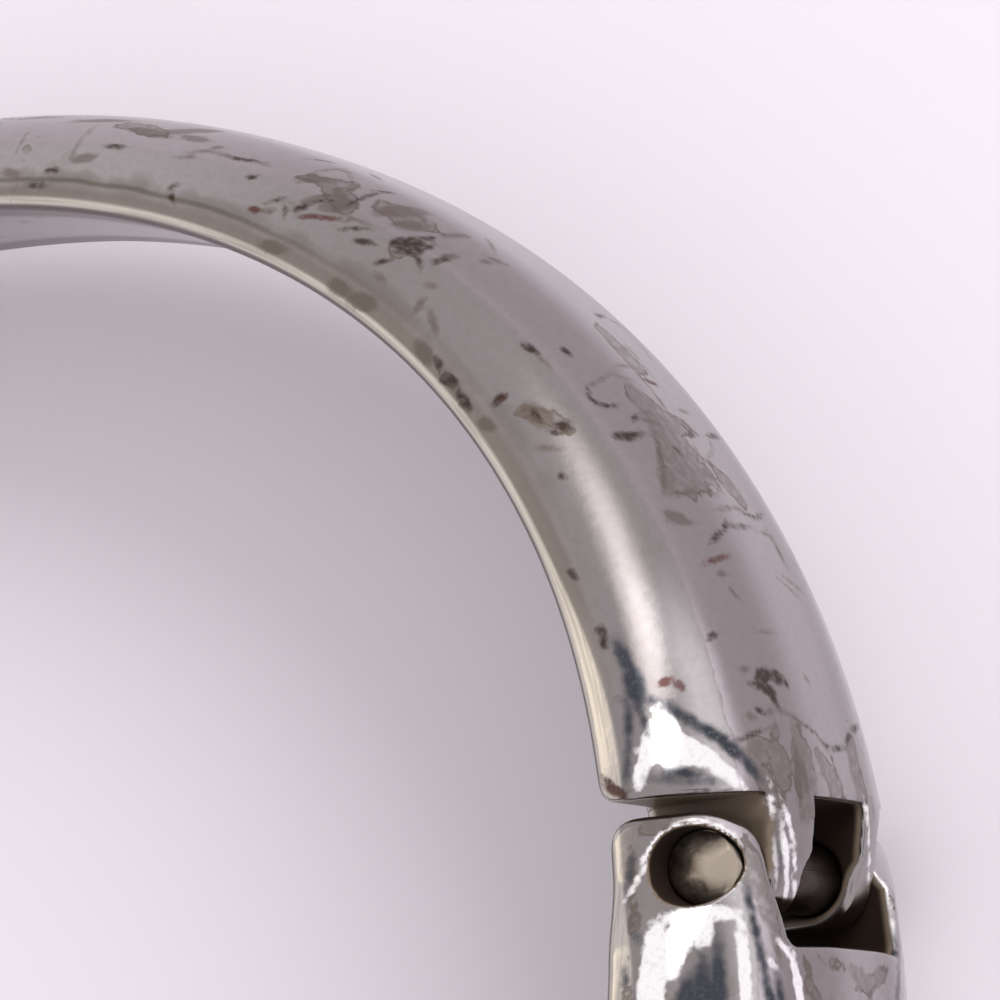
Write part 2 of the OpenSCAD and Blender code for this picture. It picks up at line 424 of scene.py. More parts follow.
# %% [markdown]
# ## From a field to a mesh
#
# Blender's remesh modifiers use cubes of one size. Here the hinge needs cells of about 0.1 mm and
# the rest of the arm can do with longer ones, so the net is made on a grid that follows the arm.
# Each cell that the surface passes through gets one point, and neighbouring cells are joined by
# quads.

# %% One point in each cell that the surface passes through
def edge_crossings(values, axis):
    """Which grid edges along an axis the surface crosses, how far along, and which start inside."""
    low, high = [slice(None)] * 3, [slice(None)] * 3
    low[axis], high[axis] = slice(0, -1), slice(1, None)
    f0, f1 = values[tuple(low)], values[tuple(high)]
    cross = (f0 < 0) != (f1 < 0)
    return cross, np.where(cross, f0 / np.where(cross, f0 - f1, 1), 0), f0 < 0


def cell_points(values):
    """The cells on the surface, the mean of each one's crossings in cell steps, and all crossings."""
    cells = tuple(n - 1 for n in values.shape)
    count, total = np.zeros(cells), np.zeros(cells + (3,))
    crossings = []
    for axis in range(3):
        first, second = (axis + 1) % 3, (axis + 2) % 3
        cross, step, inside = edge_crossings(values, axis)
        crossings.append((cross, inside))
        for i, j in ((0, 0), (0, 1), (1, 0), (1, 1)):
            part = [slice(None)] * 3
            part[first] = slice(i, cells[first] + i)
            part[second] = slice(j, cells[second] + j)
            c = cross[tuple(part)]
            count += c
            total[..., axis] += step[tuple(part)]
            total[..., first] += c * i
            total[..., second] += c * j
    active = count > 0
    return active, np.argwhere(active) + total[active] / count[active][:, None], crossings


print("each point is the mean of up to 12 crossings, one for each edge of its cell")


# %% Quads between neighbouring cells
def net(values):
    """Points, in cell steps, and quads between the cells that the surface passes through."""
    active, points, crossings = cell_points(values)
    number = np.full(active.shape, -1)
    number[active] = np.arange(len(points))
    quads = []
    for axis, (cross, inside) in enumerate(crossings):
        first, second = (axis + 1) % 3, (axis + 2) % 3
        at = np.argwhere(cross)
        a, b = at[:, first], at[:, second]
        at = at[(a > 0) & (a < active.shape[first]) & (b > 0) & (b < active.shape[second])]
        ring = []
        for i, j in ((1, 1), (0, 1), (0, 0), (1, 0)):
            cell = at.copy()
            cell[:, first] -= i
            cell[:, second] -= j
            ring.append(number[tuple(cell.T)])
        ring = np.stack(ring, 1)
        backwards = ~inside[tuple(at.T)]
        ring[backwards] = ring[backwards][:, ::-1]
        quads.append(ring)
    return points, np.concatenate(quads)


ball = np.hypot(np.hypot(*np.mgrid[-2:3, -2:3]), np.arange(-2, 3)[:, None, None]) - 1.5
print("a small ball takes", len(net(ball)[0]), "points and", len(net(ball)[1]), "quads")

# %% [markdown]
# The points of the net lie only roughly on the surface. A smooth modifier would shrink the small
# edges, so the points slide along the field's slope until they lie on the surface, and the slope
# there is the true normal. With true normals a polished surface mirrors without ripples, however
# coarse the net is.

# %% Settling the points on the surface
# Radians and millimetres that a slope is measured over, the longest move, and the least slope in mm a mm
TURN_STEP, SLOPE_STEP, LONGEST_MOVE, LEAST_SLOPE = 1e-4, 2e-3, 0.1, 0.05


def slopes(field, turn, z, out):
    """Slope of the field in the three directions of the arm, the mm in one radian, and the way along."""
    x1, y1 = place(turn + TURN_STEP, out)
    x0, y0 = place(turn - TURN_STEP, out)
    stretch = np.hypot(x1 - x0, y1 - y0) / (2 * TURN_STEP)
    along = np.stack([(x1 - x0), (y1 - y0)], 1) / (2 * TURN_STEP * stretch[:, None])
    s = SLOPE_STEP
    t = s / stretch
    g_turn = (field(turn + t, z, out) - field(turn - t, z, out)) / (2 * s)
    g_z = (field(turn, z + s, out) - field(turn, z - s, out)) / (2 * s)
    g_out = (field(turn, z, out + s) - field(turn, z, out - s)) / (2 * s)
    return np.stack([g_turn, g_z, g_out], 1), stretch, along


def settle(field, turn, z, out, rounds=4):
    """The points moved onto the surface, and the normals there in the bangle's frame."""
    for _ in range(rounds):
        g, stretch, _ = slopes(field, turn, z, out)
        move = -field(turn, z, out)[:, None] * g / np.maximum((g**2).sum(1), LEAST_SLOPE)[:, None]
        move = np.clip(move, -LONGEST_MOVE, LONGEST_MOVE)
        turn, z, out = turn + move[:, 0] / stretch, z + move[:, 1], out + move[:, 2]
    g, _, along = slopes(field, turn, z, out)
    _, _, nx, ny = oval_point(turn)
    in_x = along[:, 0] * g[:, 0] + nx * g[:, 2]
    in_y = along[:, 1] * g[:, 0] + ny * g[:, 2]
    normal = np.stack([in_x, in_y, g[:, 1]], 1)
    return turn, z, out, normal / np.linalg.norm(normal, axis=1)[:, None]


settled = settle(upper_field, np.array([1.0]), np.array([0.0]), np.array([4.9]))
print("the upper arm is", round(float(settled[2][0]), 2), "mm thick after 33 mm")

# %% [markdown]
# The grid's lines lie close together where there is something to show: at the hinge, on the
# stained stretch, whose stains are as fine as the net, and at the nose. An even grid as fine as
# that would take more than twice as many cells. Between such places the lines along the arm spread
# out bit by bit, so that no cell is much longer than its neighbour.

# %% Grid lines along, across and out of the arm
# Widest steps at the hinge, on the plain stretch and at the nose, and how fast a step may grow
FINE, COARSE, NOSE_STEP, GROWTH = 0.12, 0.85, 0.16, 1.15
# Where the fine lines of the hinge start and end, from the pin, and the lines past the tip, in radians
HINGE_START, HINGE_END, PAST_TIP = -3.6, 5.2, 0.03
# How much wider a step may be for each radian from the tip
NOSE_SPREAD = 4


def lines_along(shown_to, shown_step):
    """Turns of the grid: fine at the hinge and on the stained stretch, wider beyond, fine at the nose."""
    turns = [math.atan2(v, PIN_X) for v in np.arange(HINGE_START, HINGE_END, FINE)]
    gap, last = FINE / PIN_X, turns[-1]
    tip = math.radians(ARM_REACH)
    while last < tip + PAST_TIP:
        widest = shown_step if last * PIN_X < shown_to else COARSE
        wanted = min(widest, NOSE_STEP + max(tip - last, 0) * NOSE_SPREAD) / PIN_X
        gap = min(gap * GROWTH, wanted)
        last += gap
        turns.append(last)
    return np.array(turns)


# Steps across the far part and the near part, and steps out, with where each starts and ends
FAR_EDGE, FAR_STEP, NEAR_START, NEAR_STEP, NEAR_EDGE = -9.5, 0.26, -3.0, 0.14, 9.4
UNDER, OUT_STEP, OVER = -0.325, 0.13, 6.7
far_heights = np.arange(FAR_EDGE, NEAR_START, FAR_STEP)
heights = np.concatenate([far_heights, np.arange(NEAR_START, NEAR_EDGE, NEAR_STEP)])
outs = np.arange(UNDER, OVER, OUT_STEP)
# How far the stained stretch goes on each arm, and the step there, in mm
upper_turns = lines_along(shown_to=43, shown_step=0.16)
lower_turns = lines_along(shown_to=10, shown_step=0.3)
print("grid of", len(upper_turns), "by", len(heights), "by", len(outs))

# %% [markdown]
# ## Charting the stains
#
# Old silver tarnishes in spots, thin wandering lines and cloudy films, and on this bangle they lie
# where they lie. Noise alone would put them anywhere. So they are charted on the picture as
# short strokes: two ends, a half width, and one list for each kind of stain. Each list has the same
# five columns. The darkest kind comes first: small, nearly black spots.

# %% Dark spots
# x and y of one end, x and y of the other, in pixels, and the half width in mm
SPOTS = [
    (108, 146, 122, 147, 0.13), (47, 171, 57, 170, 0.1), (170, 188, 177, 185, 0.12),
    (236, 158, 250, 160, 0.09), (249, 178, 255, 177, 0.13), (235, 159, 256, 161, 0.09),
    (310, 159, 335, 163, 0.07), (268, 203, 283, 198, 0.09), (284, 207, 285, 214, 0.09),
    (297, 210, 307, 206, 0.15), (310, 202, 326, 201, 0.07), (354, 202, 378, 193, 0.09),
    (378, 191, 396, 194, 0.07), (343, 229, 367, 229, 0.09), (358, 241, 371, 243, 0.14),
    (378, 262, 386, 261, 0.13), (399, 243, 414, 249, 0.34), (410, 240, 421, 244, 0.22),
    (393, 252, 414, 254, 0.1), (423, 238, 434, 238, 0.1), (417, 255, 420, 266, 0.11),
    (434, 263, 446, 259, 0.14), (424, 250, 433, 247, 0.1), (445, 378, 453, 383, 0.25),
    (437, 361, 440, 365, 0.18), (526, 346, 534, 351, 0.18), (564, 350, 568, 353, 0.16),
    (496, 402, 502, 397, 0.17), (560, 424, 566, 428, 0.19), (552, 432, 558, 433, 0.12),
    (534, 412, 540, 420, 0.12), (560, 476, 564, 477, 0.12), (597, 316, 603, 316, 0.11),
    (588, 388, 589, 397, 0.09), (590, 398, 600, 405, 0.1), (600, 405, 612, 406, 0.09),
    (634, 420, 637, 416, 0.12), (618, 436, 632, 437, 0.2), (630, 435, 643, 434, 0.14),
    (711, 541, 722, 532, 0.12), (723, 530, 726, 522, 0.12), (727, 525, 738, 527, 0.08),
    (738, 526, 750, 528, 0.1), (745, 514, 755, 518, 0.08), (755, 518, 763, 515, 0.08),
    (709, 638, 716, 634, 0.12), (751, 684, 756, 684, 0.12), (759, 682, 765, 674, 0.3),
    (764, 674, 782, 679, 0.26), (768, 690, 778, 706, 0.16), (762, 686, 772, 692, 0.24),
    (784, 680, 787, 686, 0.14), (757, 709, 763, 712, 0.12), (571, 572, 575, 576, 0.14),
    (600, 629, 604, 636, 0.2), (602, 641, 605, 646, 0.14), (745, 738, 758, 731, 0.08),
    (803, 724, 815, 733, 0.07), (823, 744, 832, 749, 0.09), (832, 749, 843, 748, 0.11),
    (846, 742, 850, 735, 0.13), (852, 730, 858, 727, 0.13), (858, 728, 864, 746, 0.06),
    (831, 755, 836, 773, 0.07), (686, 433, 693, 435, 0.1), (682, 425, 689, 431, 0.09),
    (460, 396, 468, 407, 0.2), (171, 196, 173, 200, 0.12), (30, 185, 46, 185, 0.1),
    (708, 436, 718, 437, 0.11), (675, 448, 679, 452, 0.12), (606, 780, 620, 794, 0.16),
    (624, 791, 700, 791, 0.07), (700, 791, 738, 789, 0.06),
]
print(len(SPOTS), "dark spots, the widest", 2 * max(stroke[4] for stroke in SPOTS), "mm wide")

# %% [markdown]
# Thin lines wander between the spots, where a film of tarnish has dried at its rim. A line is a
# chain of short strokes. A curve object would follow it more smoothly, but the strokes are all that
# such a faint mark needs, and they are charted in the same way as everything else.

# %% Thin lines and faint, brownish strokes
# x and y of one end, x and y of the other, in pixels, and the half width in mm
LINES = [
    (133, 129, 165, 136, 0.3), (165, 133, 215, 131, 0.3), (185, 137, 205, 140, 0.25),
    (80, 121, 128, 121, 0.22), (20, 119, 62, 117, 0.15), (94, 127, 78, 145, 0.08),
    (78, 145, 71, 158, 0.09), (75, 160, 92, 157, 0.22), (5, 172, 17, 174, 0.2),
    (181, 157, 192, 157, 0.1), (193, 152, 214, 151, 0.1), (215, 153, 236, 158, 0.1),
    (214, 148, 222, 147, 0.12), (17, 152, 27, 134, 0.07), (256, 161, 266, 165, 0.08),
    (303, 179, 331, 180, 0.26), (302, 180, 315, 172, 0.08), (315, 172, 335, 169, 0.08),
    (335, 169, 348, 172, 0.09), (348, 172, 353, 182, 0.08), (353, 182, 352, 192, 0.08),
    (373, 175, 379, 179, 0.15), (283, 198, 293, 203, 0.06), (266, 211, 272, 211, 0.13),
    (304, 203, 327, 197, 0.24), (330, 206, 347, 203, 0.42), (338, 193, 344, 206, 0.3),
    (344, 216, 368, 224, 0.1), (401, 225, 421, 227, 0.32), (383, 212, 420, 212, 0.4),
    (420, 215, 428, 228, 0.12), (446, 236, 467, 236, 0.16), (446, 258, 455, 256, 0.2),
    (488, 240, 494, 250, 0.12), (482, 262, 491, 262, 0.14), (490, 258, 505, 264, 0.12),
    (429, 285, 433, 286, 0.14), (377, 275, 382, 280, 0.15), (417, 309, 422, 302, 0.16),
    (430, 313, 437, 334, 0.13), (333, 285, 344, 290, 0.3), (353, 299, 371, 305, 0.34),
    (264, 245, 283, 249, 0.25), (420, 347, 428, 358, 0.3), (483, 423, 491, 427, 0.25),
    (534, 352, 547, 365, 0.08), (532, 411, 545, 421, 0.42), (538, 448, 558, 449, 0.13),
    (603, 316, 622, 327, 0.07), (622, 327, 640, 345, 0.06), (640, 345, 652, 360, 0.05),
    (620, 348, 628, 347, 0.07), (628, 347, 640, 361, 0.08), (640, 361, 649, 372, 0.08),
    (590, 386, 610, 374, 0.09), (610, 374, 628, 379, 0.08), (617, 366, 630, 366, 0.08),
    (630, 366, 650, 388, 0.08), (650, 388, 668, 412, 0.1), (668, 412, 682, 425, 0.1),
    (612, 406, 619, 404, 0.07), (641, 414, 648, 413, 0.1), (644, 420, 660, 424, 0.15),
    (680, 411, 687, 412, 0.1), (657, 440, 661, 470, 0.14), (663, 470, 664, 492, 0.13),
    (667, 496, 703, 491, 0.12), (695, 447, 704, 463, 0.09), (704, 463, 704, 473, 0.08),
    (704, 473, 714, 479, 0.08), (714, 479, 720, 488, 0.08), (720, 488, 716, 495, 0.07),
    (716, 495, 704, 487, 0.07), (669, 515, 684, 520, 0.26), (672, 521, 692, 522, 0.14),
    (719, 509, 735, 508, 0.09), (735, 508, 743, 511, 0.09), (761, 533, 770, 535, 0.08),
    (770, 535, 779, 550, 0.1), (774, 543, 784, 562, 0.15), (783, 576, 800, 590, 0.07),
    (782, 582, 795, 594, 0.06), (719, 574, 726, 574, 0.12), (731, 590, 737, 597, 0.1),
    (761, 632, 773, 632, 0.07), (741, 669, 747, 669, 0.11), (768, 712, 773, 711, 0.1),
    (748, 716, 754, 717, 0.12), (805, 677, 808, 681, 0.1), (790, 715, 803, 724, 0.07),
    (758, 731, 772, 728, 0.06), (735, 741, 745, 738, 0.08), (815, 733, 823, 744, 0.07),
    (778, 710, 790, 715, 0.08), (796, 752, 800, 800, 0.24), (802, 762, 807, 790, 0.2),
    (710, 440, 712, 452, 0.07), (712, 452, 705, 462, 0.07),
]
print(len(LINES), "strokes of thin lines")

# %% [markdown]
# A few spots are reddish, where the copper in the silver has come up. The clouds are wide, thin
# films with a darker rim. Both are charted in the same columns.

# %% Reddish spots and cloudy films
# x and y of one end, x and y of the other, in pixels, and the half width in mm
REDS = [
    (252, 209, 258, 210, 0.15), (302, 216, 338, 219, 0.13), (645, 380, 657, 385, 0.12),
    (662, 683, 671, 680, 0.17), (677, 683, 682, 687, 0.16), (706, 563, 727, 556, 0.12),
    (499, 399, 503, 396, 0.12), (607, 785, 622, 796, 0.2),
]
# x and y of one end, x and y of the other, in pixels, and the half width in mm
CLOUDS = [
    (640, 400, 655, 412, 0.6), (655, 420, 690, 430, 0.5), (665, 440, 690, 450, 0.65),
    (672, 460, 698, 468, 0.75), (670, 480, 700, 485, 0.6), (130, 126, 160, 132, 0.4),
    (310, 178, 345, 185, 0.4), (335, 195, 345, 205, 0.5), (390, 210, 425, 225, 0.55),
    (705, 410, 715, 430, 0.4), (720, 475, 742, 500, 0.45), (400, 250, 425, 240, 0.4),
    (530, 415, 560, 425, 0.3), (750, 753, 768, 745, 0.4), (776, 738, 784, 790, 0.45),
    (800, 748, 810, 800, 0.75), (825, 768, 835, 800, 0.55), (852, 750, 862, 800, 0.5),
    (760, 775, 775, 792, 0.35), (800, 800, 803, 880, 0.4), (795, 735, 805, 775, 0.4),
    (608, 335, 636, 366, 0.5),
]
print(len(REDS), "reddish spots and", len(CLOUDS), "clouds on the upper arm")

# %% [markdown]
# At the hinge the metal is handled most, and some places are burnished. In a mirror as bright as
# this, their nearly white parts are painted highlights and painted reflections of the window, and
# the dark places beside them are painted reflections of darker parts of the room, which isn't
# known. Painting these places as finish keeps them on the metal in every view, which a reflection
# card can't do.

# %% Burnished places, painted highlights and painted dark reflections of the upper arm
# The bright strokes: painted highlights and reflections on burnished places and rounded edges
# x and y of one end, x and y of the other, in pixels, and the half width in mm
UPPER_BURNISH_AND_HIGHLIGHT = [
    (655, 722, 640, 778, 0.3), (665, 722, 672, 758, 0.5), (672, 735, 738, 784, 0.36),
    (648, 752, 706, 758, 0.42), (637, 786, 742, 788, 0.1), (654, 708, 661, 703, 0.08),
    (771, 799, 776, 870, 0.13), (781, 825, 786, 878, 0.18), (787, 878, 783, 903, 0.17),
    (783, 804, 792, 834, 0.13), (793, 850, 795, 870, 0.13), (793, 878, 795, 896, 0.13),
    (800, 882, 803, 894, 0.12), (866, 806, 869, 850, 0.1), (869, 850, 868, 888, 0.1),
    (868, 888, 860, 916, 0.1),
]
# The dark strokes: painted dark reflections, and the dark line along the worn groove
# x and y of one end, x and y of the other, in pixels, and the half width in mm
UPPER_DARK_REFLECTION = [
    (618, 646, 630, 672, 0.26), (631, 674, 638, 700, 0.38), (629, 700, 628, 745, 0.17),
    (628, 745, 626, 782, 0.12), (628, 700, 662, 702, 0.16), (662, 704, 701, 728, 0.23),
    (701, 728, 719, 738, 0.28), (719, 738, 741, 756, 0.3), (741, 756, 757, 775, 0.22),
    (656, 779, 718, 782, 0.16), (668, 773, 698, 775, 0.2), (779, 826, 780, 870, 0.07),
    (638, 706, 648, 730, 0.12),
]
print(len(UPPER_BURNISH_AND_HIGHLIGHT), "bright and", len(UPPER_DARK_REFLECTION), "dark strokes on the upper arm")

# %% Burnished places, painted highlights, painted dark reflections and clouds of the lower arm
# The bright strokes: painted highlights and reflections under the bore, on its rim, the fillet and the far
# lug
# x and y of one end, x and y of the other, in pixels, and the half width in mm
LOWER_BURNISH_AND_HIGHLIGHT = [
    (668, 918, 732, 912, 0.33), (657, 928, 645, 1040, 0.5), (682, 925, 668, 968, 0.5),
    (700, 920, 702, 936, 0.45), (739, 915, 746, 1040, 0.26), (642, 862, 651, 847, 0.1),
    (651, 847, 664, 834, 0.12), (664, 834, 680, 825, 0.12), (680, 825, 712, 823, 0.11),
    (712, 823, 731, 833, 0.1), (644, 868, 629, 894, 0.1), (769, 961, 775, 966, 0.12),
    (782, 946, 794, 961, 0.14), (794, 961, 802, 1010, 0.22), (884, 882, 889, 914, 0.1),
    (889, 914, 893, 934, 0.1),
]
# The dark strokes: painted dark reflections beside the bright place and on the far lug
# x and y of one end, x and y of the other, in pixels, and the half width in mm
LOWER_DARK_REFLECTION = [
    (718, 946, 716, 1035, 0.3), (704, 966, 700, 1035, 0.42), (690, 988, 684, 1035, 0.45),
    (747, 888, 752, 915, 0.16), (752, 915, 758, 940, 0.2), (758, 940, 765, 975, 0.2),
    (765, 975, 776, 1035, 0.26), (891, 940, 897, 1005, 0.28), (778, 982, 786, 1035, 0.2),
    (632, 862, 629, 882, 0.12), (636, 936, 638, 940, 0.1), (624, 974, 625, 984, 0.12),
]
# x and y of one end, x and y of the other, in pixels, and the half width in mm
LOWER_CLOUDS = [
    (632, 850, 631, 905, 0.12), (634, 905, 626, 1030, 0.18), (748, 850, 766, 905, 0.5),
    (772, 908, 776, 950, 0.2), (854, 970, 865, 985, 0.26), (865, 985, 880, 975, 0.22),
    (812, 985, 822, 1010, 0.3), (835, 963, 844, 966, 0.1), (640, 835, 660, 822, 0.3),
]
print(len(LOWER_BURNISH_AND_HIGHLIGHT), "bright and", len(LOWER_DARK_REFLECTION), "dark strokes on the lower arm")

# %% [markdown]
# Each kind of stroke is stored under a name on both arms, because one silver serves both. The
# lower arm shows too little of itself for spots and lines, and its lists of those are empty.

# %% All charts of both arms
# Stains, and under bright and dark the painted highlights and painted dark reflections
STAIN_AND_REFLECTION_CHARTS = {
    1: {"spots": SPOTS, "lines": LINES, "reds": REDS, "clouds": CLOUDS,
        "bright": UPPER_BURNISH_AND_HIGHLIGHT, "dark": UPPER_DARK_REFLECTION},
    -1: {"spots": [], "lines": [], "reds": [], "clouds": LOWER_CLOUDS,
         "bright": LOWER_BURNISH_AND_HIGHLIGHT, "dark": LOWER_DARK_REFLECTION},
}
print({kind: len(strokes) for kind, strokes in STAIN_AND_REFLECTION_CHARTS[1].items()}, "strokes on the upper arm")

# %% [markdown]
# ## From the picture to the metal
#
# A stroke charted in pixels could be projected as a picture, but it would then smear over every
# surface behind it. Instead the ray through each end of a stroke is followed until it meets the
# arm's field, and there the stroke is kept as along, across and out, in millimetres of the
# straightened arm. So a stain belongs to the metal, stays with it when the arm swings, and looks
# the same from any side.

# %% From a point in space to a place on the straightened arm
UNROLL_ROUNDS = 12


def unroll(points):
    """Turn, across and out for points in the bangle's frame, in mm."""
    turn = np.arctan2(points[:, 1], points[:, 0])
    for _ in range(UNROLL_ROUNDS):
        x, y, nx, ny = oval_point(turn)
        x1, y1, _, _ = oval_point(turn + TURN_STEP)
        aside = (points[:, 1] - y) * nx - (points[:, 0] - x) * ny
        turn = turn + aside / (np.hypot(x1 - x, y1 - y) / TURN_STEP)
    x, y, nx, ny = oval_point(turn)
    return turn, points[:, 2], (points[:, 0] - x) * nx + (points[:, 1] - y) * ny


print("the pin's axis unrolls to", round(float(unroll(np.array([[PIN_X, 0.0, 0.0]]))[2][0]), 2), "mm out")

# %% Following rays to the metal
# Level over the bangle's middle where rays start, steps of a ray, its share of the way, its longest step
START_LEVEL, RAY_STEPS, RAY_SHARE, RAY_LONGEST = 10, 70, 0.8, 0.5
# A ray that ends further than this from the metal has missed it
MISSED = 0.02


def on_arm(pixels, field, side):
    """Along, across and out where the rays through pixels meet an arm; misses are not a number."""
    reach = np.full(len(pixels), -camera.data.lens / camera.data.sensor_width)
    rays = np.stack([pixels[:, 0] / PICTURE - 0.5, 0.5 - pixels[:, 1] / PICTURE, reach], 1) @ np.array(TURN)
    rays /= np.linalg.norm(rays, axis=1)[:, None]
    at = np.array(EYE) + rays * ((EYE.z - START_LEVEL) / -rays[:, 2])[:, None]
    for _ in range(RAY_STEPS):
        turn, z, out = unroll(at * (1, side, 1))
        off = field(turn, z, out)
        at = at + rays * np.clip(off * RAY_SHARE, -RAY_LONGEST, RAY_LONGEST)[:, None]
    place_on_arm = np.stack([turn * PIN_X, z, out], 1)
    place_on_arm[np.abs(off) > MISSED] = np.nan
    return place_on_arm


def to_strokes(chart, field, side):
    """Both ends of each stroke as places on the arm, with its half width."""
    chart = np.array(chart, float).reshape(-1, 5)
    ends = np.stack([on_arm(chart[:, 0:2], field, side), on_arm(chart[:, 2:4], field, side)], 1)
    hit = np.isfinite(ends).all(axis=(1, 2))
    return list(zip(ends[hit], chart[hit, 4]))


print(len(to_strokes(SPOTS, upper_field, 1)), "of", len(SPOTS), "spots meet the upper arm")

# %% [markdown]
# The finish needs to know how near each point of the mesh is to a stain. Painting the strokes into
# vertex colours would give jagged rims. A distance is smooth between the points of the mesh, so the
# shader can cut a crisp or ragged rim from it, finer than the mesh itself.

# %% Distance from the strokes
def edge_distance(where, strokes):
    """Distance in mm from the nearest stroke's edge, negative inside, at most 1."""
    nearest = np.ones(len(where))
    for (start, end), half_width in strokes:
        off = where - (start + end) / 2
        half = (end - start) / 2
        length = np.linalg.norm(half) + TINY
        along = off @ (half / length)
        far = np.sqrt(np.maximum((off**2).sum(1) - along**2, 0) / half_width**2
                      + (along / (length + half_width)) ** 2)
        nearest = np.minimum(nearest, (far - 1) * half_width)
    return nearest


test_stroke = [((np.zeros(3), np.array([2.0, 0, 0])), 0.5)]
print("beside a stroke 1 mm wide, 1 mm from its middle:",
      round(float(edge_distance(np.array([[1.0, 1.0, 0.0]]), test_stroke)[0]), 2), "mm from its edge")

# %% [markdown]
# ## Making the arms
#
# The points, quads and normals become a mesh object. Blender could work out smooth normals by
# itself, but they would average over long and short cells. The field's own normals are set instead,
# and the mesh is carried from millimetres round the oval to metres on the surface.

# %% From arrays to a mesh object
def silver_mesh(name, points, quads, normals):
    """A mesh object from arrays, with the given normals for its shading."""
    mesh = bpy.data.meshes.new(name)
    mesh.vertices.add(len(points))
    mesh.vertices.foreach_set("co", points.ravel())
    mesh.loops.add(quads.size)
    mesh.loops.foreach_set("vertex_index", quads.ravel())
    mesh.polygons.add(len(quads))
    mesh.polygons.foreach_set("loop_start", np.arange(0, quads.size, 4))
    mesh.update(calc_edges=True)
    mesh.validate()
    mesh.polygons.foreach_set("use_smooth", np.ones(len(mesh.polygons), bool))
    mesh.normals_split_custom_set_from_vertices(normals)
    piece = bpy.data.objects.new(name, mesh)
    bpy.context.scene.collection.objects.link(piece)
    return piece


def to_table(points):
    """Millimetres in the bangle's frame to metres on the surface."""
    turn = np.array(RESTING.to_3x3())
    return points * MM @ turn.T + np.array(RESTING.translation)


pin_middle = to_table(np.array([[PIN_X, 0.0, 0.0]]))[0]
print("the pin's middle stands", round(1000 * float(pin_middle[2]), 2), "mm up")

# %% [markdown]
# Black grime and painted shade fill the hinge: the bores, the slot and the gaps beside the fingers,
# where no cloth reaches and little light gets in. Ambient occlusion in the shader would find such
# places too, but the exported model would lose it. How deep a point lies under the arm's outer skin
# says the same, and the field knows it.

# %% How much grime and painted shade a place in the hinge has
# Depth under the skin where the grime and painted shade start and over how far they turn black, and the
# same by height
DARKENING_FROM, DARKENING_OVER, WRIST_FROM, WRIST_OVER = 0.15, 0.55, 0.2, 0.6
# How far past the shoulder the darkening reaches, and how wide the dark ring round the bore is
PAST_SHOULDER, BORE_RING = 0.2, 0.12
# The near knuckle's own face stays lighter: its share of the darkening, how far in that ends, over how far
LIGHTER_FACE, FACE_IN, FACE_OVER = 0.3, 0.2, 0.3
# How far past the near knuckle's face the lug is darkened, over how far that ends, and the ring's soft rim
LUG_DARKENING_TO, LUG_DARKENING_OVER, RING_RIM = 0.7, 0.5, 0.1


def grime(turn, z, out, side):
    """How deep a point lies inside the hinge, from 0 on the outer skin to 1 in the dark."""
    angle = oval_angle(turn)
    x, y = place(turn, out)
    shoulder = UPPER_SHOULDER if side > 0 else LOWER_SHOULDER
    end = KNUCKLE_END if side > 0 else LUG_END
    filed = ease((shoulder - y) / shoulder)
    thin = 0 if side > 0 else LUG_THIN * (z > 0)
    drop = KNUCKLE_DROP if side > 0 else NEAR_LUG_DROP * (z > 0)
    thick = thickness(angle, side) - drop * filed
    skin = bar(z, out, width(angle, side) - 2 * thin * filed, thick)
    depth = -hinge_end(skin, y, out, thick, end, end)
    # Deeper under the skin means darker: grime and painted shade, as ambient occlusion would give
    inside = ease((depth - DARKENING_FROM) / DARKENING_OVER) * ease((out - WRIST_FROM) / WRIST_OVER)
    inside = inside * (y < shoulder + PAST_SHOULDER)
    if side > 0:
        return inside * (LIGHTER_FACE + (1 - LIGHTER_FACE) * ease((NEAR_REACH - FACE_IN - z) / FACE_OVER))
    in_bore = ease((BORE_R + BORE_RING - np.hypot(x - PIN_X, y)) / RING_RIM)
    return np.maximum(inside * ease((NEAR_REACH + LUG_DARKENING_TO - z) / LUG_DARKENING_OVER), in_bore)


print("grime in the slot's middle", round(float(grime(0.0, 0.0, 3.0, 1)), 2), "of 1")

# %% [markdown]
# The finish works in millimetres of the straightened arm, so that a stain round the bend is as long
# as one on a straight stretch. Object coordinates can't say that, and a UV map has seams. So each
# point of the mesh keeps its own place on the straightened arm as an attribute, and beside it how
# high it lies over the crease, its grime and painted shade, whether the picture hides it, and its
# distance from each kind of stain and from the painted highlights and dark reflections.

# %% Attributes that the finish reads
# Along the arm, in mm, how far the picture shows it, and across it, where it turns away from view
CHARTED_TO, TURNS_AWAY = {1: 40, -1: 3}, -2
# Over how many mm the scattered stains of the unseen parts start, along the arm and across it
UNSEEN_ALONG, UNSEEN_ACROSS = 4, 1.5


def keep(piece, name, values):
    """Stores one number for each point of a piece."""
    note = piece.data.attributes.new(name, "FLOAT", "POINT")
    note.data.foreach_set("value", values)


def keep_notes(piece, field, side, turn, z, out):
    """Stores all that the finish reads on an arm."""
    straight = np.stack([turn * PIN_X, z, out], 1)
    note = piece.data.attributes.new("straight", "FLOAT_VECTOR", "POINT")
    note.data.foreach_set("vector", straight.ravel())
    keep(piece, "over_crease", out - WALL_SHARE * thickness(oval_angle(turn), side))
    keep(piece, "grime", grime(turn, z, out, side))
    past_charts = ease((turn * PIN_X - CHARTED_TO[side]) / UNSEEN_ALONG)
    keep(piece, "unseen", np.maximum(past_charts, ease((TURNS_AWAY - z) / UNSEEN_ACROSS)))
    for kind, chart in STAIN_AND_REFLECTION_CHARTS[side].items():
        keep(piece, kind, edge_distance(straight, to_strokes(chart, field, side)))


print("attributes: straight, over_crease, grime, unseen,", ", ".join(STAIN_AND_REFLECTION_CHARTS[1]))
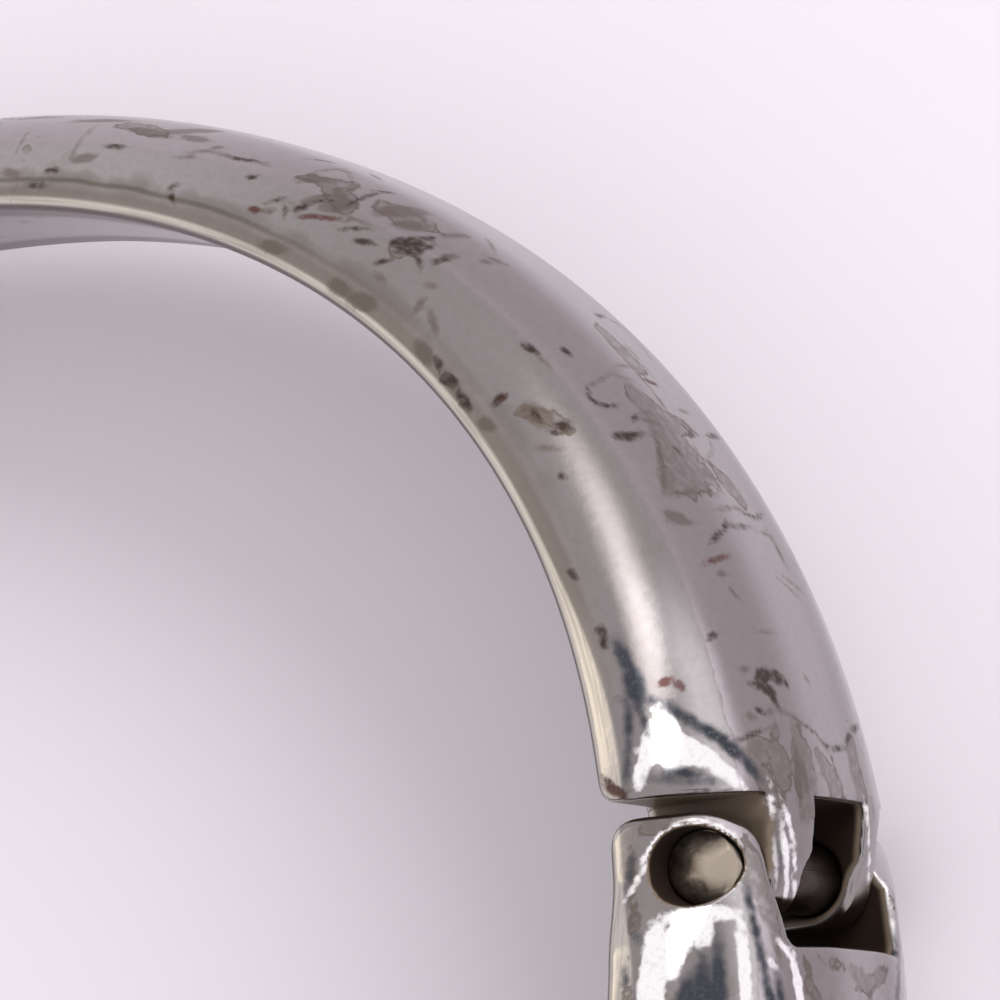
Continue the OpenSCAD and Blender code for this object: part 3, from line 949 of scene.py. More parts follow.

# %% [markdown]
# Now both arms can be made: the field is worked out on the grid, the net is laid over it, and its
# points are settled. The lower arm is mirrored, so its quads turn the other way. Each arm rides on
# its own body of the hinge and stands for its solid, which stays behind, hidden.

# %% The two arms
def make_arm(name, field, side, turns):
    """One arm as a mesh object on the surface, with its attributes."""
    values = field(turns[:, None, None], heights[None, :, None], outs[None, None, :])
    points, quads = net(values)
    turn = np.interp(points[:, 0], np.arange(len(turns)), turns)
    z = np.interp(points[:, 1], np.arange(len(heights)), heights)
    out = np.interp(points[:, 2], np.arange(len(outs)), outs)
    turn, z, out, normal = settle(field, turn, z, out)
    x, y = place(turn, out)
    normal[:, 1] *= side
    quads = quads[:, ::side]
    normal = normal @ np.array(RESTING.to_3x3()).T
    piece = silver_mesh(name, to_table(np.stack([x, side * y, z], 1)), quads, normal)
    keep_notes(piece, field, side, turn, z, out)
    print(name, len(points), "points", 2 * len(quads), "triangles")
    return piece


upper = make_arm("upper_arm_polished", upper_field, 1, upper_turns)
lower = make_arm("lower_arm_polished", lower_field, -1, lower_turns)
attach(upper, "upper")
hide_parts("upper_arm")
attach(lower, "lower")
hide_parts("lower_arm")

# %% [markdown]
# ## A small paint box
#
# Every finish below is a tree of shader nodes. Wiring them by hand takes many lines that say
# little, so these helpers add one node each and hand back its output. A value may be a number or
# another node's output.

# %% Helpers that add one shader node each
# Metres that a bump of 1 would raise the surface
BUMP_DISTANCE = 0.001


class PaintBox:
    """Adds nodes to one tree and wires them up."""

    def __init__(self, owner):
        owner.use_nodes = True
        self.tree = owner.node_tree

    def add(self, kind, *values, output=0, **settings):
        new = self.tree.nodes.new(kind)
        for name, value in settings.items():
            setattr(new, name, value)
        for socket, value in zip(new.inputs, values):
            self.put(socket, value)
        return new.outputs[output]

    def put(self, socket, value):
        if isinstance(value, bpy.types.NodeSocket):
            self.tree.links.new(value, socket)
        elif value is not None:
            socket.default_value = value

    def number(self, operation, *values):
        return self.add("ShaderNodeMath", *values, operation=operation)

    def product(self, first, *others):
        for value in others:
            first = self.number("MULTIPLY", first, value)
        return first

    def most(self, first, *others):
        for value in others:
            first = self.number("MAXIMUM", first, value)
        return first

    def vector(self, operation, *values, output=0):
        return self.add("ShaderNodeVectorMath", *values, operation=operation, output=output)

    def fade(self, value, span, start=0.0, end=1.0):
        """A smooth ramp from start to end while the value goes from one end of the span to the other."""
        return self.add("ShaderNodeMapRange", value, *span, start, end, interpolation_type="SMOOTHSTEP")

    def mix(self, share, a, b):
        new = self.tree.nodes.new("ShaderNodeMix")
        new.data_type = "RGBA"
        self.put(new.inputs["Factor"], share)
        self.put(new.inputs["A"], a)
        self.put(new.inputs["B"], b)
        return new.outputs["Result"]

    def noise(self, where, scale, detail):
        new = self.tree.nodes.new("ShaderNodeTexNoise")
        self.put(new.inputs["Vector"], where)
        self.put(new.inputs["Scale"], scale)
        self.put(new.inputs["Detail"], detail)
        return new.outputs["Fac"]

    def waver(self, where, scale, detail, reach):
        """Noise that goes as far to either side of 0."""
        return self.product(self.number("SUBTRACT", self.noise(where, scale, detail), 0.5), reach)

    def bump(self, height, skin):
        """Raises the surface by a height, in parts of the bump's own distance."""
        new = self.tree.nodes.new("ShaderNodeBump")
        new.inputs["Distance"].default_value = BUMP_DISTANCE
        self.put(new.inputs["Height"], height)
        self.put(skin.inputs["Normal"], new.outputs["Normal"])


print("the paint box can", ", ".join(name for name in vars(PaintBox) if not name.startswith("_")))

# %% [markdown]
# ## The studio
#
# Polished silver has hardly any colour of its own. What one sees is the room in it: a pale room,
# one soft window to the upper right, a brighter wall to the left, a dimmer place low on the right,
# and the paper below. Lamps would show as hard shapes in the metal, and a painted sky is slow to
# sample. So the room is one plain pale colour with a few oval cards in it, as a studio has. A
# card's middle shines in its own colour and fades to the room's at its rim, so the metal shows no
# hard edge.

# %% Room light
PALE_AIR = (0.98, 0.943, 0.972, 1)
room = bpy.data.worlds.new("pale room")
bpy.context.scene.world = room
air = PaintBox(room)
air.tree.nodes["Background"].inputs["Color"].default_value = PALE_AIR
# The plain view transform leaves pale colours as pale as they are
bpy.context.scene.view_settings.view_transform = "Standard"
print("the room shines", PALE_AIR[:3])

# %% Cards that the metal mirrors
# Metres from the bangle to each card, and the corners of its oval
CARD_DISTANCE, CARD_SIDES = 0.6, 32


def towards(bearing, height):
    """The direction to a bearing and a height over the horizon, in degrees."""
    b, h = math.radians(bearing), math.radians(height)
    return Vector((math.cos(b) * math.cos(h), math.sin(b) * math.cos(h), math.sin(h)))


def facing(away):
    """The place in a direction, at the cards' distance, turned to face the bangle."""
    return Matrix.Translation(away * CARD_DISTANCE) @ away.to_track_quat("Z", "Y").to_matrix().to_4x4()


def card_glow(name, colour, soft):
    """Light in a colour, which fades to the room's over the outer, soft share of a card."""
    glow = bpy.data.materials.new(name)
    box = PaintBox(glow)
    box.tree.nodes.remove(box.tree.nodes["Principled BSDF"])
    where = box.add("ShaderNodeTexCoord", output="Object")
    rim = box.fade(box.vector("LENGTH", where, output="Value"), (1 - soft, 1.0))
    shine = box.add("ShaderNodeEmission", box.mix(rim, colour, PALE_AIR))
    box.put(box.tree.nodes["Material Output"].inputs["Surface"], shine)
    glow.cycles.emission_sampling = "NONE"
    return glow


def card(name, colour, bearing, height, wide, tall, turn, soft):
    """An oval card; its half width and height are seen from the bangle, in degrees."""
    sides = [2 * math.pi * i / CARD_SIDES for i in range(CARD_SIDES)]
    mesh = bpy.data.meshes.new(name)
    mesh.from_pydata([(math.cos(t), math.sin(t), 0) for t in sides], [], [range(CARD_SIDES)])
    mesh.materials.append(card_glow(name, colour, soft))
    piece = bpy.data.objects.new(name, mesh)
    bpy.context.scene.collection.objects.link(piece)
    size = [math.tan(math.radians(v)) * CARD_DISTANCE for v in (wide, tall)]
    spin = Matrix.Rotation(math.radians(turn), 4, "Z")
    piece.matrix_world = facing(towards(bearing, height)) @ spin @ Matrix.Diagonal((*size, 1, 1))
    piece.visible_camera = False
    piece.visible_diffuse = False
    piece.visible_shadow = False
    piece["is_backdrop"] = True


card("window", (3.5, 3.4, 3.4, 1), bearing=47, height=42, wide=17, tall=32, turn=20, soft=1.0)
card("left wall", (1.7, 1.6, 1.45, 1), bearing=150, height=56, wide=13, tall=9, turn=0, soft=0.7)
card("photographer", (0.25, 0.25, 0.27, 1), bearing=-16, height=34, wide=17, tall=20, turn=0, soft=1.0)
print("three cards stand", CARD_DISTANCE, "m away")

# %% [markdown]
# The cards are seen in the metal only. The soft shadow on the paper comes from a round lamp close to
# the window, which the metal in turn doesn't show: a lamp's shadow and its mirror image can then be
# set one by one.

# %% Lamp
# Bearing and height over the horizon in degrees, width in metres, strength in watts
LAMP_BEARING, LAMP_HEIGHT, LAMP_WIDE, LAMP_WATTS = 50, 36, 0.3, 2.2
lamp = bpy.data.objects.new("lamp", bpy.data.lights.new("lamp", "AREA"))
lamp.data.shape = "DISK"
lamp.data.size = LAMP_WIDE
lamp.data.energy = LAMP_WATTS
lamp.matrix_world = facing(towards(LAMP_BEARING, LAMP_HEIGHT))
lamp.visible_glossy = False
bpy.context.scene.collection.objects.link(lamp)
print("a lamp of", LAMP_WATTS, "watts and", LAMP_WIDE, "m across")

# %% [markdown]
# The bangle lies on pale, faintly pink paper with no shine. One big quad is enough for it: it has
# to reach so far that its edge is out of sight in every view, and any grain in it would be out of
# focus in the picture.

# %% Pale paper under the bangle
# Half the side of the sheet in metres, and the paper's colour and roughness
HALF_FLOOR = 3.0
PAPER, PAPER_ROUGHNESS = (0.72, 0.682, 0.725, 1), 0.9
corners = [(x * HALF_FLOOR, y * HALF_FLOOR, 0) for x, y in ((-1, -1), (1, -1), (1, 1), (-1, 1))]
floor_mesh = bpy.data.meshes.new("floor")
floor_mesh.from_pydata(corners, [], [(0, 1, 2, 3)])
floor = bpy.data.objects.new("floor", floor_mesh)
bpy.context.scene.collection.objects.link(floor)
paper = bpy.data.materials.new("pale_paper")
sheet = PaintBox(paper).tree.nodes["Principled BSDF"]
sheet.inputs["Base Color"].default_value = PAPER
sheet.inputs["Roughness"].default_value = PAPER_ROUGHNESS
floor_mesh.materials.append(paper)
floor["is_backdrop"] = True
print("paper", 2 * HALF_FLOOR, "m wide")

# %% [markdown]
# ## Tarnished silver
#
# The real metal is worn bright on its crown and grayer towards its sides, and its far and outer
# side carry painted reflection of the bright paper. Olive dirt sits along the crease over the side
# walls, black grime and painted shade in the hinge, and brown stains lie scattered over the dome.
# At the hinge lie painted highlights and painted dark reflections on burnished places. Each could
# be a material of its own on its own faces, but it is one metal, and the stains only change its
# colour and make it duller. So one material holds all of it, built up in layers, as the tarnish
# was. All layers share the places on the arm and a few noises.

# %% Places and noises that all layers share
# Where the crown gives way to the sides, in mm across, and how many patches of each noise go in a mm
SIDES = 2.5, 3.5
CLOUD_SCALE, GRAIN_SCALE, RAGGED_SCALE = 0.55, 3.0, 4.0
# How far a stain's rim wavers, in mm
RAGGED = 0.18


class SilverPaint(PaintBox):
    """A paint box that knows where a point lies on the straightened arm."""

    def __init__(self, owner):
        super().__init__(owner)
        self.where = self.note("straight", output="Vector")
        self.along = self.add("ShaderNodeSeparateXYZ", self.where, output="X")
        self.across = self.add("ShaderNodeSeparateXYZ", self.where, output="Y")
        self.out = self.add("ShaderNodeSeparateXYZ", self.where, output="Z")
        self.aside = self.number("ABSOLUTE", self.across)
        self.on_side = self.fade(self.aside, SIDES)
        self.cloud = self.noise(self.where, CLOUD_SCALE, 3.0)
        self.grain = self.noise(self.where, GRAIN_SCALE, 4.0)
        self.ragged = self.waver(self.where, RAGGED_SCALE, 1.5, RAGGED)

    def note(self, name, output="Fac"):
        """What was stored on the mesh's points under a name."""
        return self.add("ShaderNodeAttribute", attribute_name=name, output=output)


print("clouds about", round(1 / CLOUD_SCALE, 1), "mm wide, grain about", round(1 / GRAIN_SCALE, 1), "mm")

# %% [markdown]
# The bare metal is never one gray. Silver is a pale metal, but an old surface has a thin sulphide
# film, so its mirror image is darker and warmer than new silver's. A wear mask from the mesh's
# curvature would miss how it is really worn, so the tones go by place: brighter on the crown and
# paler towards the tips. The far and the outer side and a band beside the hinge are painted paler
# still, as painted reflection of the bright paper and of the window's glow.

# %% Bare metal, with painted reflection on its far and outer side
# The metal at its sides and on the crown, a paler tone that also carries painted reflection,
# the painted reflection of the outer side; and the thin film
SILVER = (0.272, 0.249, 0.247, 1)
WORN_SILVER = (0.395, 0.372, 0.372, 1)
PALE_TONE_AND_REFLECTION = (0.60, 0.575, 0.575, 1)
OUTER_SIDE_REFLECTION = (0.88, 0.85, 0.85, 1)
FILM = (0.135, 0.107, 0.087, 1)
# Where each tone comes or goes, in mm across or along the arm
CROWN, FAR_SIDE, OUTER_SIDE, TOWARDS_TIP = (0.6, 3.0), (-1.5, -5.5), (-4.2, -7.2), (25.0, 40.0)
# Where the band of painted reflection beside the hinge starts and ends across, and how long it is
BAND_START, BAND_END, BAND_LENGTH = (5.2, 6.4), (6.6, 7.5), (6.5, 11.5)


def bare_metal(box):
    """The colour of the metal before any tarnish, with painted reflection on its far and outer side and in
    a band beside the hinge.
    """
    colour = box.mix(box.fade(box.aside, CROWN, 1.0, 0.0), SILVER, WORN_SILVER)
    # The far and the outer side are painted paler, as painted reflection of the bright paper
    colour = box.mix(box.fade(box.across, FAR_SIDE, 0.0, 0.8), colour, PALE_TONE_AND_REFLECTION)
    colour = box.mix(box.fade(box.across, OUTER_SIDE, 0.0, 0.6), colour, OUTER_SIDE_REFLECTION)
    colour = box.mix(box.fade(box.along, TOWARDS_TIP, 0.0, 0.3), colour, PALE_TONE_AND_REFLECTION)
    # A band of painted reflection beside the hinge
    band = box.product(box.fade(box.across, BAND_START), box.fade(box.across, BAND_END, 1.0, 0.0),
                       box.fade(box.along, BAND_LENGTH, 1.0, 0.0))
    colour = box.mix(band, colour, PALE_TONE_AND_REFLECTION)
    return box.mix(box.fade(box.grain, (0.35, 0.7), 0.0, 0.10), colour, FILM)


print("silver from", SILVER[0], "at the sides to", OUTER_SIDE_REFLECTION[0], "on the outer side")

# %% [markdown]
# The side walls stay olive, since no polishing cloth gets under the dome, and a soft band of dirt
# has settled in the crease over them. Vertex painting could place it, but the crease follows the
# arm's taper. The attribute with the height over the crease follows it by itself. The band's
# place, width and strength waver with the clouds, because dirt never lies evenly.

# %% Side walls and crease
OLIVE = (0.167, 0.147, 0.133, 1)
CREASE_LINE = (0.085, 0.072, 0.05, 1)
# Where the wall ends and the thin line fades, in mm over the crease, and where each starts along
WALL_TOP, LINE_RIM = (-0.25, 0.1), (0.02, 0.17)
WALL_ALONG, DIRT_ALONG, LINE_ALONG = (5.0, 12.0), (8.0, 22.0), (20.0, 36.0)


def walls_and_crease(box, colour):
    """The olive walls, the band of dirt over them and the thin dark line in it; and how dull they are."""
    over = box.note("over_crease")
    wall = box.product(box.fade(over, WALL_TOP, 1.0, 0.0), box.on_side,
                       box.fade(box.along, WALL_ALONG, 0.15, 0.8))
    colour = box.mix(wall, colour, OLIVE)
    half_band = box.fade(box.cloud, (0.4, 0.65), 0.45, 0.8)
    from_crease = box.number("ABSOLUTE", box.number("SUBTRACT", over, box.product(box.cloud, 0.3)))
    dirt = box.number("SUBTRACT", 1.0, box.number("DIVIDE", from_crease, half_band))
    dirt = box.product(box.fade(dirt, (0.0, 0.8)), box.on_side, box.fade(box.cloud, (0.3, 0.6), 0.25, 0.6),
                       box.fade(box.along, DIRT_ALONG))
    colour = box.mix(dirt, colour, OLIVE)
    line = box.product(box.fade(from_crease, LINE_RIM, 0.6, 0.0), box.on_side,
                       box.fade(box.along, LINE_ALONG))
    return box.mix(line, colour, CREASE_LINE), [box.product(wall, 0.3), box.product(dirt, 0.5)]


print("the crease's line starts", LINE_ALONG[0], "mm from the hinge")

# %% [markdown]
# Under the wall, the rounded edge beside the wrist carries a painted cream highlight, in fine
# streaks along the arm, and below it a gray strip with a painted darker reflection is all that
# shows of the wrist face. The streaks are a noise squeezed in one direction, which is the usual
# way to make brushed metal.

# %% Edge beside the wrist, with a painted highlight and a painted darker reflection
EDGE_HIGHLIGHT = (0.53, 0.49, 0.445, 1)
STRIP_DARK_REFLECTION = (0.175, 0.148, 0.148, 1)
# Where the painted highlight on the edge widens from the hinge on, and where it narrows again, in mm along
EDGE_WIDENS, EDGE_NARROWS = (0.0, 4.0), (4.0, 14.0)
# Its height at the hinge, at its widest and further on
EDGE_AT_HINGE, EDGE_WIDEST, EDGE_FURTHER = 0.6, 1.15, 0.58
# How the highlight's rim fades past that height, and where the strip's painted darker reflection fades out
EDGE_RIM, STRIP_TOP = (-0.12, 0.06), (0.22, 0.34)
# The noise is drawn out along the arm and pressed together over its height
STREAKS = (0.15, 1.0, 6.0)


def wrist_edge(box, colour):
    """The painted highlight on the edge beside the wrist and the painted darker reflection on the strip
    under it.
    """
    edge_top = box.number("MINIMUM", box.fade(box.along, EDGE_NARROWS, EDGE_WIDEST, EDGE_FURTHER),
                          box.fade(box.along, EDGE_WIDENS, EDGE_AT_HINGE, EDGE_WIDEST))
    streaks = box.noise(box.vector("MULTIPLY", box.where, STREAKS), 1.6, 3.0)
    # The painted cream highlight along the edge
    bright = box.product(box.fade(box.number("SUBTRACT", box.out, edge_top), EDGE_RIM, 1.0, 0.0),
                         box.fade(streaks, (0.3, 0.55), 0.6, 1.0), box.on_side)
    colour = box.mix(bright, colour, EDGE_HIGHLIGHT)
    # The gray strip under it, painted darker as reflection
    return box.mix(box.product(box.fade(box.out, STRIP_TOP, 1.0, 0.0), box.on_side), colour, STRIP_DARK_REFLECTION)


print("the bright edge is", EDGE_FURTHER, "to", EDGE_WIDEST, "mm high, the strip", STRIP_TOP[1], "mm")

# %% [markdown]
# The charted stains lie over that. Each kind has its colour, its strength and how softly its rim
# fades. A plain rim would look stamped, so a noise is added to the distance before the rim is
# cut from it: a little for spots and lines, much more for the clouds. A cloud also has the darker
# rim of a dried drop, and a spot is mottled inside.

# %% Charted stains
STAIN = (0.045, 0.028, 0.021, 1)
FAINT = (0.122, 0.094, 0.077, 1)
RED = (0.10, 0.025, 0.02, 1)
# Kind, colour, strength, and half the width of the rim in mm
STAINS = (("clouds", FILM, 0.5, 0.12), ("lines", FAINT, 0.62, 0.1), ("reds", RED, 0.8, 0.08),
          ("spots", STAIN, 0.9, 0.09))
CLOUD_WAVER, CLOUD_RIM = 1.1, (0.02, 0.1)


def cloud_cover(box, near, cover):
    """A cloud's patchy inside and the dark rim that it has here and there."""
    rim = box.fade(box.number("ABSOLUTE", near), CLOUD_RIM, 0.75, 0.0)
    rim = box.product(rim, box.fade(box.cloud, (0.36, 0.48)))
    return box.most(box.product(cover, box.fade(box.grain, (0.3, 0.6), 0.5, 1.0)), rim)


def charted_stains(box, colour):
    """The stains of all charts; and how dull each of them is."""
    dull = []
    for kind, stain, strength, soft in STAINS:
        waver = box.waver(box.where, 1.1, 4.0, CLOUD_WAVER) if kind == "clouds" else box.ragged
        near = box.number("ADD", box.note(kind), waver)
        cover = box.fade(near, (-soft, soft), strength, 0.0)
        if kind == "clouds":
            cover = cloud_cover(box, near, cover)
        if kind == "spots":
            cover = box.product(cover, box.fade(box.noise(box.where, 3.0, 3.0), (0.3, 0.6), 0.62, 1.0))
        colour = box.mix(cover, colour, stain)
        dull.append(cover)
    return colour, dull


print("kinds of charted stain:", ", ".join(row[0] for row in STAINS))

# %% [markdown]
# The picture hides the back of the arms, both tips and nearly all of the lower arm. Left bare they
# would look like another, newer bangle. There noise gives spots and specks of the same size and
# colour as the charted ones, which fade in where the charts end.

# %% Scattered stains where nothing is charted
# Values of the noises at which a spot, the patch of spots round it, and a speck start and are full
SPOT_NOISE, PATCH_NOISE, SPECK_NOISE = (0.60, 0.63), (0.42, 0.55), (0.69, 0.72)


def scattered_stains(box, colour):
    """Spots and specks by noise, on the hidden parts only."""
    spread = box.number("ADD", box.noise(box.where, 0.9, 3.0), box.product(box.ragged, 0.2))
    spots = box.product(box.fade(spread, SPOT_NOISE), box.fade(box.cloud, PATCH_NOISE, 0.0, 0.65))
    specks = box.fade(box.noise(box.where, 1.7, 2.0), SPECK_NOISE, 0.0, 0.9)
    return box.mix(box.product(box.most(spots, specks), box.note("unseen")), colour, FAINT)


print("the upper arm is charted for", CHARTED_TO[1], "mm, the lower one for", CHARTED_TO[-1], "mm")

# %% [markdown]
# The burnished places, where the film has been rubbed through, carry painted highlights and
# reflections that are nearly white, with torn rims, and the painted dark reflections beside them
# have soft ones. They come after the stains, because rubbing takes the stains away too and the
# painted reflections lie over everything.

# %% Painted highlights and painted dark reflections at the burnished places
BURNISHED_HIGHLIGHT = (1.0, 0.99, 0.98, 1)
DARK_REFLECTION = (0.060, 0.066, 0.078, 1)
# How far their rims waver, and half the width of each rim, in mm
TORN, HIGHLIGHT_RIM, DARK_REFLECTION_RIM = 0.34, 0.07, 0.16


def burnish_and_painted_reflections(box, colour):
    """The bright strokes as painted highlights and the dark strokes as painted dark reflections."""
    torn = box.waver(box.where, 3.0, 3.0, TORN)
    # Noise that breaks the painted highlights and dark reflections into patches
    patchy = box.fade(box.noise(box.where, 6.0, 1.0), (0.3, 0.5), 0.86, 1.0)
    # Painted highlights first, then the painted dark reflections beside them
    for kind, tone, soft in (("bright", BURNISHED_HIGHLIGHT, HIGHLIGHT_RIM), ("dark", DARK_REFLECTION, DARK_REFLECTION_RIM)):
        near = box.number("ADD", box.note(kind), torn)
        colour = box.mix(box.product(box.fade(near, (-soft, soft), 1.0, 0.0), patchy), colour, tone)
    return colour


# The painted highlight's colour and the painted dark reflection's colour
print("burnished", BURNISHED_HIGHLIGHT[:3], "and dark sheen", DARK_REFLECTION[:3])

# %% [markdown]
# In the hinge the silver ends under brown dirt and painted shade that turn to black grime and deep
# painted shade. Grime is no metal: it mirrors nothing. So the shader's Metallic value falls to 0
# there, and the roughness rises with it.
# The clean metal is a soft mirror, sharper only beside the hinge where it is rubbed most, and
# every stain blurs it. A faint bump keeps the reflections from being perfectly smooth.

# %% Grime, painted shade and gloss
DIRT_AND_SHADE = (0.17, 0.13, 0.095, 1)
GRIME_AND_SHADE = (0.018, 0.011, 0.008, 1)
# How many times duller than a full stain grime is, how much a full stain blurs, and the clean metal's blur
GRIME_BLUR, STAIN_BLUR, CLEAN_BLUR = 2.6, 0.3, 0.2
# Where the sharper polish fades along, and where it starts across, in mm; and how much it takes off
POLISH_ALONG, POLISH_ACROSS, POLISH = (5.5, 12.0), (2.4, 4.4), 0.13
BUMP_SCALE, BUMP_HEIGHT = 2.0, 0.006


def hinge_grime(box, skin, colour):
    """Dirt over all other layers, turning black with painted shade deep in the hinge; and how dull they
    are.
    """
    depth = box.note("grime")
    # Brown dirt and painted shade, turning to black grime and deep painted shade
    colour = box.mix(box.fade(depth, (0.0, 0.25)), colour, DIRT_AND_SHADE)
    colour = box.mix(box.fade(depth, (0.2, 0.9)), colour, GRIME_AND_SHADE)
    box.put(skin.inputs["Metallic"], box.fade(depth, (0.0, 0.3), 1.0, 0.0))
    return colour, [box.product(depth, GRIME_BLUR)]


def gloss(box, skin, dull):
    """The roughness and the bump of the silver."""
    polish = box.product(box.fade(box.along, POLISH_ALONG, POLISH, 0.0),
                         box.fade(box.across, POLISH_ACROSS, 0.1, 1.0))
    clean = box.number("SUBTRACT", CLEAN_BLUR, polish)
    box.put(skin.inputs["Roughness"], box.number("ADD", clean, box.product(box.most(*dull), STAIN_BLUR)))
    box.bump(box.product(box.noise(box.where, BUMP_SCALE, 3.0), BUMP_HEIGHT), skin)


print("roughness from", round(CLEAN_BLUR - POLISH, 2), "on the polish to",
      round(CLEAN_BLUR + GRIME_BLUR * STAIN_BLUR, 2), "in the grime")

# %% [markdown]
# Now the layers go on in the order in which the real ones came: metal, dirt, wear, stains,
# burnishing, grime. The painted reflections and highlights go on with the metal, the edge and the
# burnishing, and the painted shade with the grime. The shader's Specular IOR Level is low, because
# grime has no gloss.

# %% The finished silver on both arms
def tarnished_silver():
    """The one material of both arms."""
    silver = bpy.data.materials.new("tarnished_silver")
    box = SilverPaint(silver)
    skin = box.tree.nodes["Principled BSDF"]
    skin.inputs["Specular IOR Level"].default_value = 0.1
    colour, crease_dull = walls_and_crease(box, bare_metal(box))
    colour, stain_dull = charted_stains(box, wrist_edge(box, colour))
    colour = burnish_and_painted_reflections(box, scattered_stains(box, colour))
    colour, grime_dull = hinge_grime(box, skin, colour)
    box.put(skin.inputs["Base Color"], colour)
    gloss(box, skin, crease_dull + stain_dull + grime_dull)
    print("tarnished silver takes", len(box.tree.nodes), "nodes")
    return silver


silver = tarnished_silver()
upper.data.materials.append(silver)
lower.data.materials.append(silver)

# %% [markdown]
# ## The pin
#
# The pin is a plain round rod, cut off and tapped round with a small hammer, which has left a few
# flats on its end. A turned dome alone would look like a machine part. So the dome is made from
# rings of points and every point above one of the hammer's planes is pressed down onto it.

# %% One hammered end
# How far the pin reaches to the near and the far side, and the height and fullness of its dome
PIN_NEAR, PIN_FAR, PIN_DOME, PIN_FULLNESS = 6.95, 6.5, 0.5, 0.7
PIN_SIDES, DOME_RINGS = 72, 22
# Each flat's bearing and tilt in degrees, and how deep it is cut into the dome in mm
FLATS = ((15, 5, 0.39), (160, 20, 0.3), (265, 22, 0.26), (75, 26, 0.24), (330, 30, 0.22))
# A flat that is cut by 0 would float this far over the dome; and how soft its rim is
OVER_DOME, FLAT_SOFT = 0.35, 0.035


def pressed(x, y, z):
    """The height of a point of the dome after each flat has pressed it down."""
    for bearing, tilt, cut in FLATS:
        b, slope = math.radians(bearing), math.tan(math.radians(tilt))
        plane = PIN_DOME + OVER_DOME - cut - slope * (x * math.cos(b) + y * math.sin(b))
        z = (z + plane - math.hypot(z - plane, FLAT_SOFT)) / 2
    return max(z, 0)


def pin_end():
    """Rings of points over one domed end, from its rim to its middle, with the dome's foot at 0."""
    rings = []
    for i in range(DOME_RINGS + 1):
        t = math.pi / 2 * i / DOME_RINGS
        radius, height = PIN_R * math.cos(t) ** PIN_FULLNESS, PIN_DOME * math.sin(t)
        angles = [2 * math.pi * j / PIN_SIDES for j in range(PIN_SIDES)]
        ring = [(radius * math.cos(a), radius * math.sin(a)) for a in angles]
        rings.append([(x, y, pressed(x, y, height)) for x, y in ring])
    return rings


cap = pin_end()
print("the hammer has left", round(max(z for ring in cap for _, _, z in ring), 2), "mm of the dome")

# %% [markdown]
# The whole pin is one tube of rings: the far end upside down, the straight shank, and the near
# end. The rings' last points fall together in the middle of each end, so they are welded. It sits
# in the lugs, so it rides with the lower arm.

# %% The pin
# Metres within which the last points of an end are one
WELD = 1e-7
rings = [[(x, y, -PIN_FAR + PIN_DOME - z) for x, y, z in ring] for ring in reversed(cap)]
rings += [[(x, y, PIN_NEAR - PIN_DOME + z) for x, y, z in ring] for ring in cap]
points = np.array([(PIN_X + x, y, z) for ring in rings for x, y, z in ring])
faces = []
for i in range(len(rings) - 1):
    low, high = i * PIN_SIDES, (i + 1) * PIN_SIDES
    for j in range(PIN_SIDES):
        k = (j + 1) % PIN_SIDES
        faces.append((low + j, low + k, high + k, high + j))
pin_mesh = bpy.data.meshes.new("hammered_pin")
pin_mesh.from_pydata([tuple(p) for p in to_table(points)], [], faces)
pin = bpy.data.objects.new("hammered_pin", pin_mesh)
bpy.context.scene.collection.objects.link(pin)
weld = bmesh.new()
weld.from_mesh(pin_mesh)
bmesh.ops.remove_doubles(weld, verts=weld.verts, dist=WELD)
weld.to_mesh(pin_mesh)
weld.free()
pin_mesh.polygons.foreach_set("use_smooth", np.ones(len(pin_mesh.polygons), bool))
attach(pin, "lower")
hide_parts("hinge_pin")
print("pin of", round(PIN_NEAR + PIN_FAR, 2), "mm,", len(pin_mesh.polygons), "faces")

# %% [markdown]
# The pin was never polished. It is a browner, duller silver, with a paler place where the hammer
# has burnished it, and it is darker along its middle, which lies in the hinge. On so small a piece
# the box that Blender's generated coordinates fill is the handiest frame: its top is the near end
# and its middle lies hidden in the hinge.

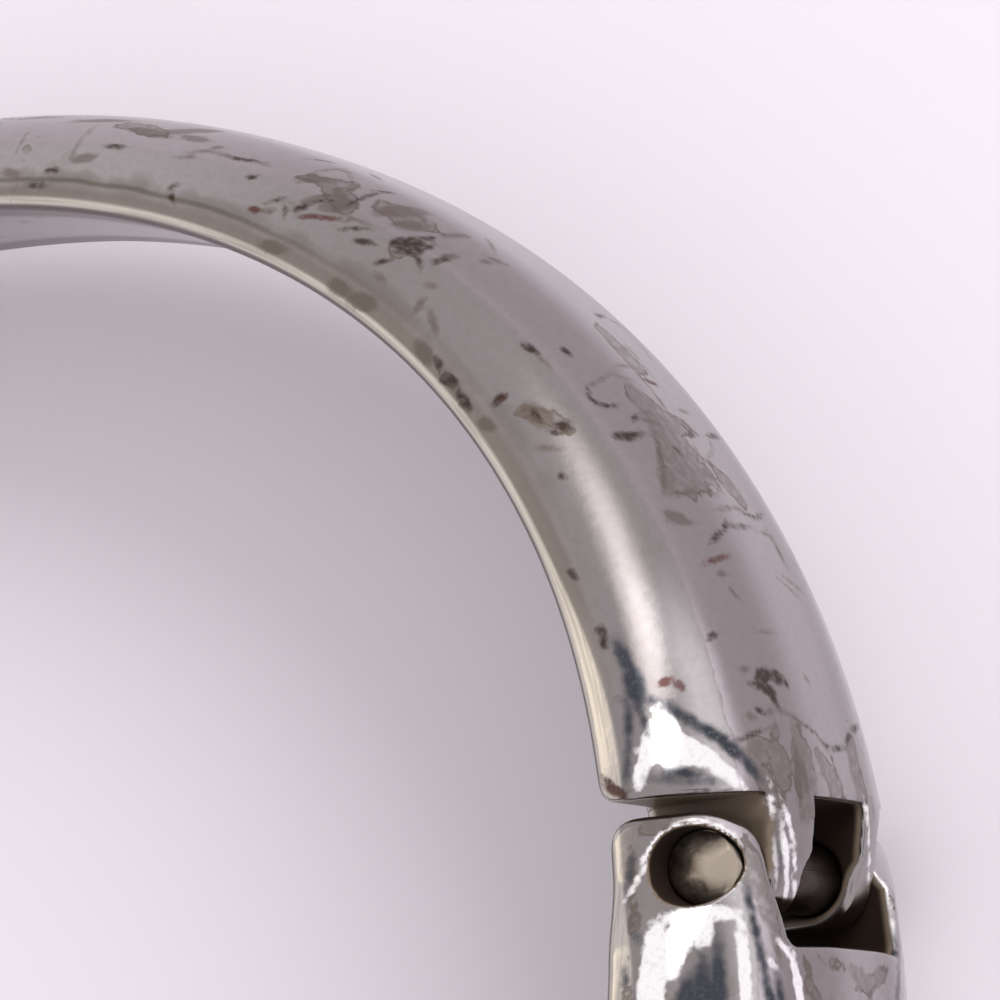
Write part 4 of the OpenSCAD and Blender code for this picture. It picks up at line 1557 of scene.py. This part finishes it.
# %% Dull silver of the pin
PIN_BROWN, PIN_GRAY = (0.17, 0.138, 0.105, 1), (0.35, 0.30, 0.24, 1)
PIN_BURNISHED, PIN_DARK_MIDDLE = (0.44, 0.385, 0.31, 1), (0.05, 0.035, 0.028, 1)
PIN_ROUGHNESS, MOTTLE_SCALE, MOTTLE_HEIGHT = 0.4, 2200.0, 0.03
# The burnished place: its middle in the box, how narrow it is each way, and where it fades
TAPPED_AT, TAPPED_NARROW, TAPPED_RIM = (0.56, 0.5, 1.0), (4.6, 3.3, 3.0), (1.0, 1.6)
# Where the darker middle ends, in shares of the box from its middle
DARK_MIDDLE_TO = 0.36, 0.44


def dull_pin_silver():
    """The pin's mottled silver, burnished on its near end and darker along its middle in the hinge."""
    silver = bpy.data.materials.new("dull_silver")
    box = PaintBox(silver)
    skin = box.tree.nodes["Principled BSDF"]
    skin.inputs["Metallic"].default_value = 1.0
    skin.inputs["Roughness"].default_value = PIN_ROUGHNESS
    in_box = box.add("ShaderNodeTexCoord", output="Generated")
    mottle = box.noise(box.add("ShaderNodeTexCoord", output="Object"), MOTTLE_SCALE, 5.0)
    colour = box.mix(box.fade(mottle, (0.35, 0.65)), PIN_BROWN, PIN_GRAY)
    from_tapped = box.vector("MULTIPLY", box.vector("SUBTRACT", in_box, TAPPED_AT), TAPPED_NARROW)
    from_tapped = box.vector("LENGTH", from_tapped, output="Value")
    from_tapped = box.number("ADD", from_tapped, box.product(mottle, 0.8))
    colour = box.mix(box.fade(from_tapped, TAPPED_RIM, 1.0, 0.0), colour, PIN_BURNISHED)
    height = box.add("ShaderNodeSeparateXYZ", in_box, output="Z")
    from_middle = box.number("ABSOLUTE", box.number("SUBTRACT", height, 0.5))
    # Darker along the middle of the pin, which lies in the hinge
    colour = box.mix(box.fade(from_middle, DARK_MIDDLE_TO, 1.0, 0.0), colour, PIN_DARK_MIDDLE)
    box.put(skin.inputs["Base Color"], colour)
    box.bump(box.product(mottle, MOTTLE_HEIGHT), skin)
    print("dull silver takes", len(box.tree.nodes), "nodes")
    return silver


pin_mesh.materials.append(dull_pin_silver())

# %% [markdown]
# ## The size of the looks
#
# The looks must not outgrow the drawing. Their box is printed, in mm.

# %% Size of the looks
looks = zip(*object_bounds())
print("the looks measure", [round(1000 * (high - low), 2) for low, high in looks], "mm")
